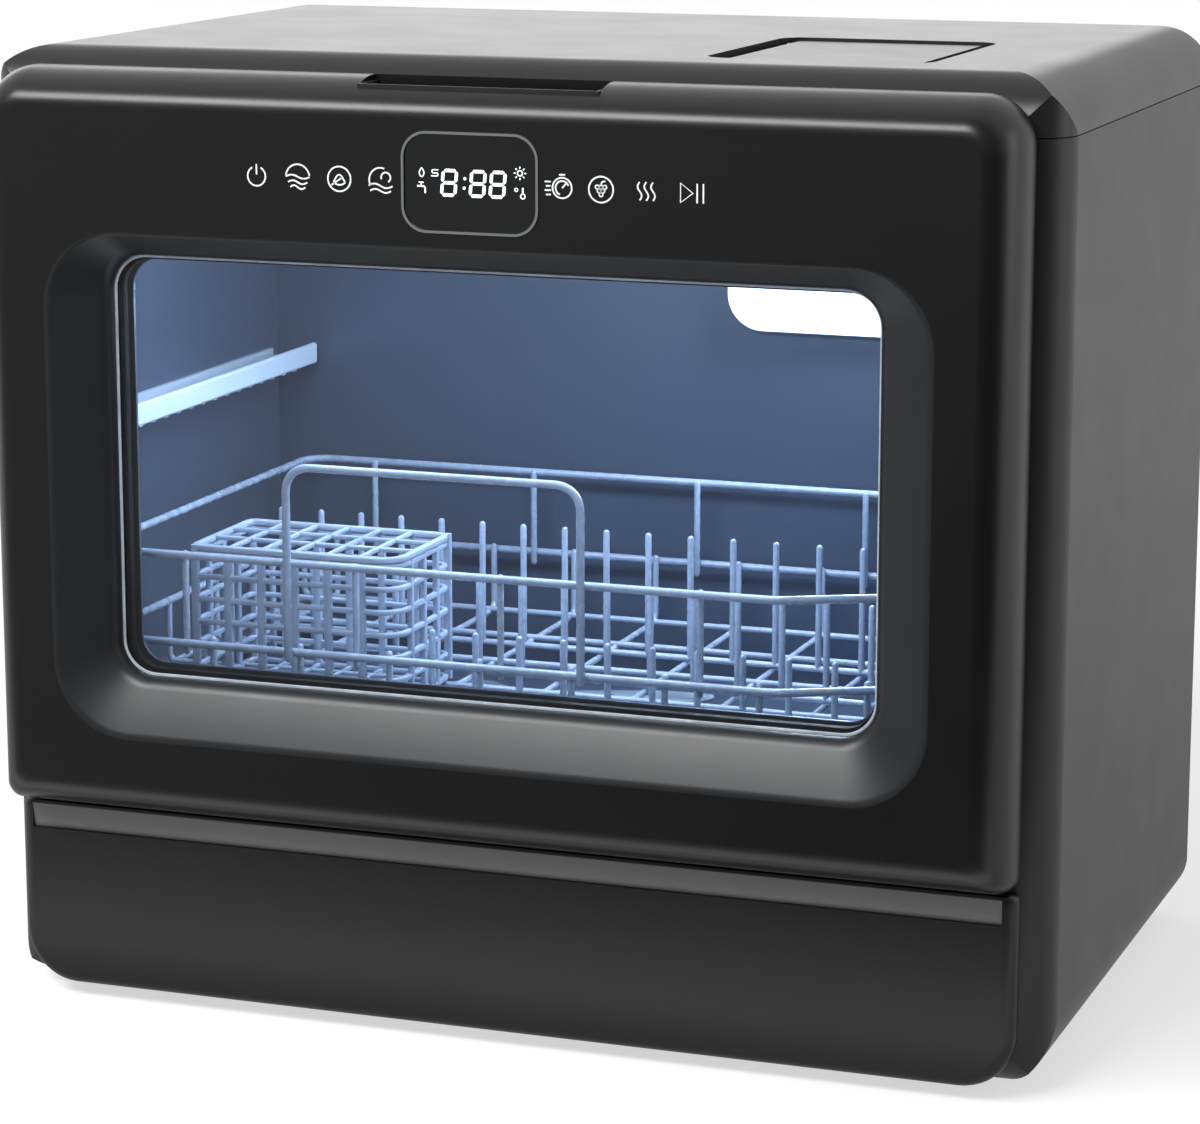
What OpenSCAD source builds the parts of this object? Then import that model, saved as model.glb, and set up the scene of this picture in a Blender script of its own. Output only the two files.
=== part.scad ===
// Countertop dishwasher with a glazed drop-down door, a wire basket and a side water tank.
// Origin: middle of the footprint at the standing surface. +X right, -Y front, +Z up.

/* [Casing] */
// Width of the casing
body_w = 440; // [430:1:470]
// Depth over everything, from the display ring to the rear panel
total_d = 300; // [294:1:340]
// Height over everything, from the standing surface to the top cover
total_h = 390; // [384:1:420]
// Clear height under the casing
foot_h = 4; // [3:0.5:8]
// Wall of the moulded covers
cover_t = 2.5; // [2:0.1:3.5]
// Radius of the long edges, seen from the front
edge_r = 24; // [18:1:28]
// Radius of the upright front edges
front_r = 20; // [16:1:22]
// Radius of the top and bottom front edges
brow_r = 20; // [16:1:22]
// Radius of the rear edges
rear_r = 3; // [2:0.5:5]
// Distance of the side seam below the top
seam_drop = 22.5; // [20:0.5:26]
// Width of the seams between covers
seam_gap = 0.4; // [0.3:0.1:0.8]
// Thickness of the rear panel
rear_t = 3; // [2:0.5:4]

/* [Door] */
// Height of the door's lower edge
door_z = 86; // [84:0.5:90]
// Distance of the door's side edges from the casing's sides
door_inset = 10; // [8:0.5:14]
// Distance of the door's upper edge below the top
door_drop = 6; // [4:0.5:10]
// Thickness of the door
door_t = 27; // [26:0.5:30]
// Gap between the door and the casing
door_gap = 3; // [2.5:0.1:4]
// Radius of the door's front edges
door_edge_r = 14; // [8:0.5:15]
// Corner radius at the door's top
door_top_r = 19; // [15:0.5:26]
// Corner radius at the door's foot
door_foot_r = 9; // [5:0.5:14]
// Wall of the door moulding
door_wall = 3; // [2:0.25:4]
// Height of the hinge axis above the door's lower edge
hinge_up = 6.5; // [6.5:0.1:7.5]
// Distance of the hinge axis behind the door's face
hinge_in = 15.5; // [15:0.1:16]
// Radius of the hinge pins
pin_r = 3; // [2:0.1:3.5]
// Running clearance of pins, shafts and bushes
run_gap = 0.05; // [0.02:0.01:0.1]

/* [Window] */
// Distance of the glass opening from the door's side edges
window_side = 53.5; // [50:0.5:70]
// Distance of the glass opening below the door's upper edge
window_drop = 72.3; // [70:0.5:90]
// Distance of the glass opening above the door's lower edge
window_rise = 56.6; // [54:0.5:66]
// Corner radius of the glass opening
window_r = 14; // [8:0.5:20]
// Width of the sloping surround at the sides and the foot
bezel_side = 22; // [12:0.5:24]
// Width of the sloping surround at the top
bezel_top = 9.7; // [6:0.1:12]
// Corner radius of the surround at the door's face
bezel_r = 30; // [20:0.5:40]
// Depth of the surround
bezel_depth = 15; // [10:0.5:15.5]
// Thickness of each glass
glass_t = 3; // [2.5:0.25:3.5]
// How far the glass reaches behind the surround
glass_lap = 3; // [2:0.25:4]

/* [Controls] */
// Distance of the row of touch keys below the door's upper edge
key_drop = 37.5; // [34:0.5:42]
// Width of the display
display_w = 55; // [48:1:60]
// Height of the display
display_h = 38.3; // [30:0.1:42]
// Corner radius of the display
display_r = 10; // [6:0.5:12]
// How far the display ring stands proud of the door
ring_proud = 0.6; // [0.3:0.1:1]
// Width of the finger slot in the door's top
slot_w = 94; // [80:1:120]
// Depth of the finger slot below the door's upper edge
slot_deep = 25; // [16:0.5:25.5]

/* [Tub] */
// Distance of the tub's left wall from the casing's side
tub_left = 16; // [14:0.5:22]
// Distance of the tub's right wall from the casing's side
tub_right = 56; // [52:1:64]
// Height of the tub's floor
tub_floor = 96; // [94:0.5:97]
// Distance of the tub's ceiling below the top
tub_drop = 34; // [33:0.5:44]
// Distance of the tub's back wall from the rear
tub_back = 28; // [26:0.5:40]
// Wall of the tub
tub_t = 1.5; // [1:0.1:2]
// Radius of the tub's long edges
tub_r = 14; // [8:0.5:20]
// How far the mouth is set in from the tub's left wall and floor
mouth_lip = 12; // [11.5:0.5:14]
// How far the mouth is set in from the tub's right wall and ceiling
mouth_rim = 5; // [4:0.5:8]
// Width of the door seal
seal_w = 8; // [5:0.25:8]

/* [Basket] */
// Radius of the rim and handle wire
rim_r = 1.7; // [1.3:0.1:2.2]
// Radius of the floor and tine wire
wire_r = 1.4; // [1.1:0.1:1.7]
// Height of the upper rim wire
rim_z = 186; // [180:1:196]
// Distance between the two rim wires
rim_step = 36.5; // [30:0.5:40]
// Height of the basket's floor
basket_z = 122; // [121:0.5:126]
// Gap between the basket and the mouth's sides
basket_gap = 7; // [5:0.5:12]
// Height of the handle loop above the rim
loop_h = 40; // [30:1:60]
// Length of the plate tines
tine_h = 28; // [20:1:50]
// Spacing of the plate tines
tine_step = 19; // [16:1:30]
// Width of the cutlery basket
cutlery_w = 92; // [70:1:100]
// Depth of the cutlery basket
cutlery_d = 58; // [45:1:64]
// Height of the cutlery basket
cutlery_h = 62; // [50:1:70]

/* [Fill lid] */
// Width of the lid's recess
recess_w = 90; // [80:1:100]
// Depth of the lid's recess, front to back
recess_d = 110; // [90:1:116]
// Middle of the recess, right of the casing's middle
recess_x = 112; // [100:1:118]
// Middle of the recess, in front of the casing's middle
recess_y = 23; // [10:1:30]
// Side gap of the lid in its recess
lid_side = 7; // [3:0.5:9]
// Front and rear gap of the lid in its recess
lid_end = 3; // [2:0.5:5]
// Thickness of the lid
lid_t = 3; // [2.5:0.25:4]

/* [Works] */
// Reach of the spray arm
arm_reach = 104; // [80:1:108]
// Radius of the filter
filter_r = 30; // [22:1:34]
// Radius of the wash motor
motor_r = 23; // [18:1:25]
// Radius of the circulation fan
fan_r = 36; // [28:1:38]
// Radius of the inlet thread
inlet_r = 13; // [10:0.1:14]
// Radius of the drain spout
spout_r = 8; // [6:0.5:10]

/* [Hidden] */
$fn = 48;
eps = 0.01;

// Casing planes
half_w = body_w / 2;
y_tip = -total_d / 2;
y_face = y_tip + ring_proud;
y_door = y_face + door_t;
y_body = y_door + door_gap;
y_rear = total_d / 2;
y_inner = y_rear - rear_t;
z_base = foot_h;
z_deck = foot_h + cover_t;
seam_z = total_h - seam_drop;
side_x = half_w - front_r;
pan_h = 56;
frame_foot = z_base + pan_h + seam_gap;

// Door planes
door_x = half_w - door_inset;
door_top = total_h - door_drop;
hinge_y = y_face + hinge_in;
hinge_z = door_z + hinge_up;
rail_h = 15;
win_x = door_x - window_side;
win_z0 = door_z + window_rise;
win_z1 = door_top - window_drop;
pane_r = window_r + glass_lap;
seal_t = 1;
liner_t = 1.5;
y_pane = y_face + bezel_depth + seal_t;
y_pane2 = y_door - liner_t - glass_t;
collar_t = 2.5;
fit = 0.2;
key_z = door_top - key_drop;
slot_front = 9;
cup_t = 1.5;
arm_w = 6;
arm_x = door_x - 18;
arm_gap = 0.5;
knuckle_r = 5.5;

// Tub planes
tub_x0 = -half_w + tub_left;
tub_x1 = half_w - tub_right;
tub_z1 = total_h - tub_drop;
tub_y1 = y_rear - tub_back;
y_mouth = y_body + cover_t;
mouth_x0 = tub_x0 + mouth_lip;
mouth_x1 = tub_x1 - mouth_rim + 1;
mouth_z0 = tub_floor + mouth_lip;
mouth_z1 = tub_z1 - mouth_rim - 1;
mouth_r = 12;
seal_gap = 0.3;

// Basket planes
bask_x0 = mouth_x0 + basket_gap;
bask_x1 = mouth_x1 - basket_gap;
bask_y0 = y_mouth + 11.5;
bask_y1 = tub_y1 - 8;
foot_y0 = bask_y0 + 19;
low_z = rim_z - rim_step;
bend_x = bask_x1 - 45;
bend_y = 22;
corner_r = 12;
rail_top = basket_z - wire_r - 4;
glide_t = 4 - seal_gap;
// the welds are left out: wires stand this far apart, so that each stays a solid of its own
weld = 0.1;
cut_x0 = bask_x0 + 36;
cut_y0 = bask_y0 + 18;
cut_z0 = basket_z + 2 * wire_r;

// Works under the tub
hub_x = -62;
hub_y = (y_mouth + tub_y1) / 2;
hub_r = 14;
arm_z0 = tub_floor + 5;
arm_t = 8;
well_x = tub_x1 - 54;
well_y = 10;
well_r = filter_r + 5;
well_z0 = 46;
pump_z = 42;
volute_r = 29;
pipe_r = 8;
pipe_z = 82;
stub_z = pipe_z + pipe_r;
heat_r = 11.5;
port_x0 = half_w - 104;
port_x1 = half_w - 16;
port_z0 = 18;
port_z1 = 58;
port_deep = 26;
port_collar = 1.5;
port_z = (port_z0 + port_z1) / 2;
tank_x0 = tub_x1 + tub_t + 2;
tank_x1 = half_w - cover_t - 1.5;
tank_z0 = 98;
tank_z1 = tub_z1 - 6;
boss_y = y_inner - 7.5;
neck_x = (tank_x0 + tank_x1) / 2;
neck_y = -recess_y;
neck_r = 12;
lid_y = recess_d / 2 - recess_y - lid_end;
lid_z = total_h - 1.2 - lid_t / 2;
lid_x0 = recess_x - recess_w / 2 + lid_side;
lid_x1 = recess_x + recess_w / 2 - lid_side;
fan_x = -110;
fan_y = 70;
roof_z = tub_z1 + tub_t;
shelf_z = 230;
shelf_pin_r = 1.6;
shelf_x = tub_x0 + 6;
shelf_w = 16;

// ---- Drawing helpers ----
// Outline with its own radius at each corner, from the lower left one round to the upper left
module plate2d(x0, x1, y0, y1, r) {
    polygon([[x0 + r[0], y0], [x1 - r[1], y0], [x1, y0 + r[1]], [x1, y1 - r[2]],
        [x1 - r[2], y1], [x0 + r[3], y1], [x0, y1 - r[3]], [x0, y0 + r[0]]]);
    at = [[x0 + r[0], y0 + r[0]], [x1 - r[1], y0 + r[1]], [x1 - r[2], y1 - r[2]], [x0 + r[3], y1 - r[3]]];
    for (i = [0:3])
        if (r[i] > 0)
            translate(at[i]) circle(r[i]);
}

module even2d(x0, x1, y0, y1, r) {
    plate2d(x0, x1, y0, y1, [r, r, r, r]);
}

// A drawing of x and z, carried along y
module along_y(y0, y1) {
    translate([0, y1, 0]) rotate([90, 0, 0]) linear_extrude(y1 - y0) children();
}

// A drawing of y and z, carried along x
module along_x(x0, x1) {
    translate([x0, 0, 0]) rotate([90, 0, 90]) linear_extrude(x1 - x0) children();
}

// A drawing of x and y, carried along z
module along_z(z0, z1) {
    translate([0, 0, z0]) linear_extrude(z1 - z0) children();
}

module box(x0, x1, y0, y1, z0, z1) {
    translate([x0, y0, z0]) cube([x1 - x0, y1 - y0, z1 - z0]);
}

// Rods along each axis
module rod_x(x0, x1, y, z, r) {
    translate([x0, y, z]) rotate([0, 90, 0]) cylinder(r = r, h = x1 - x0);
}

module rod_y(x, y0, y1, z, r) {
    translate([x, y0, z]) rotate([-90, 0, 0]) cylinder(r = r, h = y1 - y0);
}

module rod_z(x, y, z0, z1, r) {
    translate([x, y, z0]) cylinder(r = r, h = z1 - z0);
}

// An eight-sided wire between two points, with flats up, down and to the sides
module wire(a, b, r) {
    d = b - a;
    len = norm(d);
    turn = atan2(d[1], d[0]);
    tilt = acos(d[2] / len);
    translate(a) rotate([0, tilt, turn]) rotate(22.5) cylinder(r = r / cos(22.5), h = len, $fn = 8);
}

// A wire bend that lies flat: quarter ring round a corner, from angle a
module bend_flat(c, ring, r, a, sweep) {
    translate(c) rotate(a) rotate_extrude(angle = sweep) translate([ring, 0]) rotate(22.5)
        circle(r = r / cos(22.5), $fn = 8);
}

// ---- Casing ----
// The casing's outer form, drawn in by o on every side
module casing_form(o) {
    e = edge_r - o;
    b = brow_r - o;
    f = front_r - o;
    k = rear_r;
    intersection() {
        along_y(y_body + o, y_rear - o) even2d(-half_w + o, half_w - o, z_base + o, total_h - o, e);
        along_x(-half_w, half_w) plate2d(y_body + o, y_rear - o, z_base + o, total_h - o, [b, k, k, b]);
        along_z(z_base, total_h) plate2d(-half_w + o, half_w - o, y_body + o, y_rear - o, [f, f, k, k]);
    }
}

module casing_shell() {
    difference() {
        casing_form(0);
        casing_form(cover_t);
    }
}

module top_cover() {
    x0 = recess_x - recess_w / 2;
    x1 = recess_x + recess_w / 2;
    y0 = -recess_y - recess_d / 2;
    y1 = -recess_y + recess_d / 2;
    floor_z = total_h - 7;
    color("#2b2b2d") difference() {
        union() {
            intersection() {
                casing_shell();
                box(-half_w, half_w, y_body, y_rear, seam_z, total_h);
            }
            along_z(floor_z - cover_t, total_h - 1) even2d(x0 - 2, x1 + 2, y0 - 2, y1 + 2, 12);
            for (x = [-half_w + 45, 30], y = [-60, y_inner - 37]) rod_z(x, y, roof_z + 0.3, total_h - 1, 4);
        }
        along_z(floor_z, total_h + 1) even2d(x0, x1, y0, y1, 10);
        rod_z(recess_x, -recess_y, floor_z - 5, floor_z + 1, 24);
        rod_x(x0 - 1.5, x1 + 1.5, lid_y, lid_z, 1.2 + run_gap);
    }
}

// A side panel carries a boss for every rear screw; the right one also carries the tank's ledges
module side_panel(side) {
    x0 = side > 0 ? side_x : -half_w;
    x1 = side > 0 ? half_w : -side_x;
    wall = half_w - cover_t + eps;
    difference() {
        union() {
            intersection() {
                casing_shell();
                box(x0, x1, y_body, y_inner - seam_gap, z_base, seam_z - seam_gap);
            }
            for (z = screw_z)
                box(side > 0 ? screw_x[1] - 4 : -wall, side > 0 ? wall : screw_x[0] + 4, boss_y, y_inner, z - 4, z + 4);
            if (side > 0)
                for (y = [-60, 60]) box(tank_x0 + 22, wall, y, y + 3, tank_z0 - 12, tank_z0);
        }
        for (z = screw_z) rod_y(side * screw_x[1], boss_y - 1, y_inner + 1, z, 1.9);
        // room for the tub's front edge inside the rounded front
        along_y(y_mouth, y_mouth + 4)
            even2d(tub_x0 - tub_t - 0.1, tub_x1 + tub_t + 0.1, tub_floor - tub_t, tub_z1 + tub_t, tub_r + tub_t);
    }
}

module left_side_panel() {
    color("#252527") side_panel(-1);
}

module right_side_panel() {
    color("#252527") side_panel(1);
}

screw_in = 14;
screw_low = 70;
screw_high = total_h - 40;
screw_x = [-half_w + screw_in, half_w - screw_in];
screw_z = [screw_low, (screw_low + screw_high) / 2, screw_high];
vent_z1 = total_h - 38;
vent_h = 40;
vent_pitch = 12;
gland_x = -half_w + 40;
gland_z = 34;

module rear_panel() {
    color("#202022") difference() {
        intersection() {
            casing_form(0);
            box(-half_w, half_w, y_inner, y_rear, z_base, seam_z - seam_gap);
        }
        box(port_x0, port_x1, y_inner - 1, y_rear + 1, port_z0, port_z1);
        rod_y(gland_x, y_inner - 1, y_rear + 1, gland_z, 7);
        for (x = [-half_w + 70:vent_pitch:-42])
            along_y(y_inner - 1, y_rear + 1) even2d(x, x + 6, vent_z1 - vent_h, vent_z1, 2.9);
        for (x = [-100:vent_pitch:port_x0 - 36])
            along_y(y_inner - 1, y_rear + 1) even2d(x, x + 6, 26, 58, 2.9);
        for (x = screw_x, z = screw_z) {
            rod_y(x, y_inner - 1, y_rear + 1, z, 2);
            rod_y(x, y_rear - 1.6, y_rear + 1, z, 4);
        }
    }
}

module case_screws() {
    color("#8d9094") for (x = screw_x, z = screw_z) difference() {
        union() {
            rod_y(x, y_rear - 1.6, y_rear - 0.1, z, 3.6);
            rod_y(x, y_rear - 10, y_rear - 1.6, z, 1.9);
        }
        box(x - 2.4, x + 2.4, y_rear - 0.9, y_rear, z - 0.5, z + 0.5);
        box(x - 0.5, x + 0.5, y_rear - 0.9, y_rear, z - 2.4, z + 2.4);
    }
}

foot_x = half_w - 45;
foot_front = y_tip + 65;
foot_back = y_rear - 35;
foot_at = [[-foot_x, foot_front], [foot_x, foot_front], [-foot_x, foot_back], [foot_x, foot_back]];
foot_r = 13;

module base_pan() {
    color("#1d1d1f") difference() {
        union() {
            intersection() {
                casing_shell();
                box(-side_x + seam_gap, side_x - seam_gap, y_body, y_inner - seam_gap, z_base, z_base + pan_h);
            }
            for (x = [-side_x + 50, -20, 84]) box(x, x + cover_t, y_mouth + 6, y_inner - 6, z_deck - eps, z_deck + 6);
            for (y = [-60, 90]) box(-side_x + 12, side_x - 12, y, y + cover_t, z_deck - eps, z_deck + 6);
            // saddles that carry the wash motor and the drain pump
            for (x = [-30, 10]) difference() {
                box(x, x + 8, well_y - 26, well_y + 26, z_deck - eps, pump_z);
                rod_x(x - 1, x + 9, well_y, pump_z, motor_r);
            }
            difference() {
                box(well_x - 20, well_x + 20, 78, 84, z_deck - eps, pump_z);
                rod_y(well_x, 77, 85, pump_z, 19);
            }
        }
        for (p = foot_at) rod_z(p[0], p[1], z_base - 1, z_deck + 8, 4.1);
    }
}

module feet() {
    color("#141414") for (p = foot_at) {
        translate([p[0], p[1], 0]) rotate_extrude()
            polygon([[0, 0], [foot_r - 1.5, 0], [foot_r, 1.5], [foot_r, foot_h], [4, foot_h],
                [4, z_deck], [5, z_deck], [4, z_deck + 3], [0, z_deck + 3]]);
    }
}

module lower_front_panel() {
    z0 = z_base + 2;
    z1 = door_z - 2;
    lip_z = door_z - 13;
    x1 = door_x - 0.5;
    y0 = y_body - 7;
    y1 = y_body - seam_gap;
    r = edge_r - 2;
    color("#29292b") difference() {
        intersection() {
            along_y(y0, y1) plate2d(-x1, x1, z0, z1, [r, r, 3, 3]);
            along_x(-x1, x1) plate2d(y0, y1, z0, z1, [6, 0, 0, 2]);
        }
        // sloping relief under the door, with splayed ends
        intersection() {
            along_x(-x1, x1) polygon([[y0 - 1, lip_z], [y0, lip_z], [y1, z1], [y1, z1 + 1], [y0 - 1, z1 + 1]]);
            along_y(y0 - 1, y1 + 1)
                polygon([[-x1 + 6, lip_z], [x1 - 6, lip_z], [x1 - 2.5, z1 + 1], [-x1 + 2.5, z1 + 1]]);
        }
        along_y(y0 + cover_t, y1 + 1) even2d(-x1 + cover_t, x1 - cover_t, z0 + cover_t, lip_z - cover_t, r - cover_t);
    }
}

module front_frame() {
    color("#232325") difference() {
        along_y(y_body, y_mouth)
            difference() {
                translate([-side_x + seam_gap, frame_foot])
                    square([2 * (side_x - seam_gap), seam_z - seam_gap - frame_foot]);
                even2d(mouth_x0, mouth_x1, mouth_z0, mouth_z1, mouth_r);
                translate([latch_x - 9, latch_z - 3]) square([18, 6]);
            }
        for (s = [-1, 1])
            box(s * arm_x - arm_w / 2 - 0.3, s * arm_x + arm_w / 2 + 0.3, y_body - 1, y_mouth + 1,
                hinge_z - knuckle_r - 0.5, hinge_z + knuckle_r + 0.5);
    }
}

module tub() {
    color("#3a3f46") difference() {
        along_y(y_mouth, tub_y1 + tub_t)
            even2d(tub_x0 - tub_t, tub_x1 + tub_t, tub_floor - tub_t, tub_z1 + tub_t, tub_r + tub_t);
        along_y(y_mouth - 1, tub_y1) even2d(tub_x0, tub_x1, tub_floor, tub_z1, tub_r);
        rod_z(well_x, well_y, tub_floor - 5, tub_floor + 1, well_r);
        rod_z(hub_x, hub_y, tub_floor - 5, tub_floor + 1, pipe_r);
        rod_z(fan_x + 60, fan_y, tub_z1 - 1, tub_z1 + 5, 14);
        rod_z(float_x, float_y, tub_floor - 5, tub_floor + 1, 3);
    }
}

module tub_seal() {
    color("#17181a") along_y(y_door + seal_gap, y_body) difference() {
        even2d(mouth_x0 - seal_w, mouth_x1 + seal_w, mouth_z0 - seal_w, mouth_z1 + seal_w, mouth_r + seal_w);
        even2d(mouth_x0, mouth_x1, mouth_z0, mouth_z1, mouth_r);
    }
}

// ---- Tub fittings ----
module basket_rails() {
    y0 = y_mouth + 4;
    y1 = tub_y1 - 2;
    color("#4a5058") {
        along_y(y0, y1) polygon([[tub_x0, rail_top - 6], [bask_x0 + 5, rail_top - 3], [bask_x0 + 5, rail_top],
            [tub_x0, rail_top]]);
        along_y(y0, y1) polygon([[tub_x1, rail_top - 6], [bask_x1 - 5, rail_top - 3], [bask_x1 - 5, rail_top],
            [tub_x1, rail_top]]);
    }
}

shelf_y0 = y_mouth + 10;
shelf_y1 = tub_y1 - 6;

module shelf_rail() {
    color("#c9d2dc") difference() {
        union() {
            box(tub_x0, tub_x0 + 2, shelf_y0 + 4, shelf_y1 - 4, shelf_z - 6, shelf_z + 6);
            for (y = [shelf_y0 + 10, shelf_y1 - 16])
                along_y(y, y + 6) {
                    translate([tub_x0, shelf_z - 4]) square([shelf_x - tub_x0, 8]);
                    translate([shelf_x, shelf_z]) circle(4);
                }
        }
        rod_y(shelf_x, shelf_y0, shelf_y1, shelf_z, shelf_pin_r);
    }
    color("#c9d2dc") rod_y(shelf_x, shelf_y0 + 6, shelf_y1 - 6, shelf_z, shelf_pin_r);
}

module cup_shelf() {
    x1 = shelf_x + shelf_w;
    gap = 0.5;
    color("#dfe6ee") difference() {
        union() {
            // pale lip along the free edge
            along_y(shelf_y0, shelf_y1) even2d(x1 - 3, x1, shelf_z - 0.5, shelf_z + 9, 1.4);
            for (i = [0:15]) {
                y = shelf_y0 + 22 + i * (shelf_y1 - shelf_y0 - 44) / 15;
                box(shelf_x, x1 - 1, y - 1.5, y + 1.5, shelf_z - 1, shelf_z + 2);
            }
            along_y(shelf_y0 + 16 + gap, shelf_y1 - 16 - gap) translate([shelf_x, shelf_z]) circle(3.2);
        }
        rod_y(shelf_x, shelf_y0 - 1, shelf_y1 + 1, shelf_z, shelf_pin_r + run_gap);
    }
}

module filter_plate() {
    color("#aeb6bf") difference() {
        rod_z(well_x, well_y, tub_floor, tub_floor + 1.5, well_r + 4);
        rod_z(well_x, well_y, tub_floor - 1, tub_floor + 3, filter_r + 0.4);
    }
}

module filter_basket() {
    z0 = well_z0 + 8;
    z1 = tub_floor + 3.5;
    color("#8f98a3") translate([well_x, well_y, 0]) difference() {
        union() {
            rotate_extrude() polygon([[0, z0], [filter_r - 6, z0], [filter_r - 6, z1 - 2], [filter_r + 3, z1 - 2],
                [filter_r + 3, z1], [filter_r - 8, z1], [filter_r - 8, z0 + 2], [0, z0 + 2]]);
            box(-filter_r + 7, filter_r - 7, -2, 2, z1 - 4, z1 - 0.5);
            box(-12, 12, -2, 2, z1 - 1, z1 + 8);
        }
        for (a = [0:30:150], z = [z0 + 6, z0 + 20])
            rotate(a + 15) box(-filter_r, filter_r, -3, 3, z, z + 11);
    }
}

float_x = tub_x1 - 36;
float_y = -78;

module float_guide() {
    color("#9aa3ad") difference() {
        union() {
            rod_z(float_x, float_y, tub_floor, tub_floor + 2, 9);
            rod_z(float_x, float_y, tub_floor - 12, tub_floor + 7, 3);
        }
        rod_z(float_x, float_y, tub_floor - 13, tub_floor + 8, 1.5);
    }
}

module float() {
    color("#c7ced6") translate([float_x, float_y, 0]) rotate_extrude()
        polygon([[3 + run_gap, tub_floor + 2.3], [11, tub_floor + 2.3], [12, tub_floor + 8],
            [9, tub_floor + 12], [4, tub_floor + 13.5], [0, tub_floor + 13.5], [0, tub_floor + 11],
            [3 + run_gap, tub_floor + 11]]);
}

module lamp_cover() {
    x0 = tub_x1 - 149;
    x1 = tub_x1 - 36;
    z0 = tub_z1 - 101;
    z1 = tub_z1 - 26;
    color("#d6e6f7") difference() {
        along_y(tub_y1 - 5, tub_y1) even2d(x0, x1, z0, z1, 16);
        along_y(tub_y1 - 3, tub_y1 + 1) even2d(x0 + 2, x1 - 2, z0 + 2, z1 - 2, 14);
    }
}

// ---- Spray, sump and pumps ----
module spray_hub() {
    color("#7c8691") translate([hub_x, hub_y, 0]) rotate_extrude()
        polygon([[pipe_r - 2, stub_z], [pipe_r, stub_z], [pipe_r, tub_floor], [hub_r, tub_floor],
            [hub_r, arm_z0 - 0.5], [6, arm_z0 - 0.5], [6, arm_z0 + arm_t + 1], [4, arm_z0 + arm_t + 1],
            [4, tub_floor], [pipe_r - 2, tub_floor - 2]]);
}

// A blade's outline: it narrows evenly from the hub to a round tip
module blade2d() {
    tip = 9;
    root = 13;
    polygon([[0, -root], [arm_reach - tip, -tip], [arm_reach - tip, tip], [0, root]]);
    translate([arm_reach - tip, 0]) circle(tip);
}

module spray_arm() {
    color("#b9c2cc") translate([hub_x, hub_y, 0]) difference() {
        union() {
            for (a = [0, 180]) rotate(a + 20) along_z(arm_z0, arm_z0 + arm_t) blade2d();
            rod_z(0, 0, arm_z0, arm_z0 + arm_t + 3, 17);
        }
        rod_z(0, 0, arm_z0 - 1, arm_z0 + arm_t + 1.3, 6 + run_gap);
        for (a = [0, 180]) rotate(a + 20) {
            along_z(arm_z0 + 1.5, arm_z0 + arm_t - 1.5) difference() {
                translate([18, -8]) square([arm_reach - 30, 16]);
            }
            for (x = [28:16:arm_reach - 14]) rod_z(x, a == 0 ? 3 : -3, arm_z0 + 3, arm_z0 + arm_t + 1, 1.4);
        }
    }
}

module sump() {
    z1 = tub_floor - tub_t;
    color("#54595f") difference() {
        union() {
            rod_z(well_x, well_y, well_z0, z1, well_r + 2);
            rod_x(well_x - well_r - 12, well_x - well_r + 4, well_y, pump_z + 14, 9);
            rod_y(well_x, well_y + well_r - 4, well_y + well_r + 8, pump_z + 14, 9);
        }
        rod_z(well_x, well_y, well_z0 + 3, z1 + 1, well_r);
        rod_x(well_x - well_r - 13, well_x, well_y, pump_z + 14, 7);
        rod_y(well_x, well_y, well_y + well_r + 9, pump_z + 14, 7);
    }
}

volute_in = 12;
volute_w = 26;
vol_x0 = well_x - well_r - volute_in - volute_w;
vol_x1 = well_x - well_r - volute_in;

module wash_pump() {
    color("#6a7077") difference() {
        union() {
            rod_x(vol_x0, vol_x1, well_y, pump_z, volute_r);
            rod_x(vol_x0 - 70, vol_x0, well_y, pump_z, motor_r);
            rod_x(vol_x0 - 78, vol_x0 - 70, well_y, pump_z, 9);
            rod_z(vol_x0 + 12, well_y, pump_z + 20, pipe_z - pipe_r - 2, pipe_r);
        }
        rod_x(vol_x0 + 3, vol_x1 - 3, well_y, pump_z, volute_r - 3);
        rod_x(vol_x1 - 4, vol_x1 + 1, well_y, pump_z + 14, 7);
        rod_z(vol_x0 + 12, well_y, pump_z + 15, pipe_z, pipe_r - 2);
        rod_x(vol_x0 - 40, vol_x0 + 4, well_y, pump_z, 3 + run_gap);
    }
}

module pump_impeller() {
    color("#2f6f9f") translate([vol_x0, well_y, pump_z]) rotate([0, 90, 0]) {
        translate([0, 0, -38]) cylinder(r = 3, h = 38 + 5);
        translate([0, 0, 5]) cylinder(r = 22, h = 2);
        for (a = [0:60:300]) rotate(a) translate([3, -1, 7 - eps]) cube([19, 2, 10]);
        translate([0, 0, 7 - eps]) cylinder(r = 5, h = 10);
    }
}

// The pipe from the pump, under the tub and up to the spray arm's hub
module feed_pipe() {
    x1 = vol_x0 + 12;
    color("#3b3e42") difference() {
        union() {
            rod_x(hub_x - pipe_r, x1 + pipe_r, well_y, pipe_z, pipe_r);
            rod_z(x1, well_y, pipe_z - pipe_r - 2, pipe_z, pipe_r);
            rod_z(hub_x, hub_y, pipe_z, stub_z, pipe_r + 2);
            rod_y(hub_x, hub_y, well_y, pipe_z, pipe_r);
        }
        rod_x(hub_x, x1, well_y, pipe_z, pipe_r - 2);
        rod_z(x1, well_y, pipe_z - pipe_r - 3, pipe_z, pipe_r - 2);
        rod_z(hub_x, hub_y, pipe_z, tub_floor, pipe_r - 2);
    }
}

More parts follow.
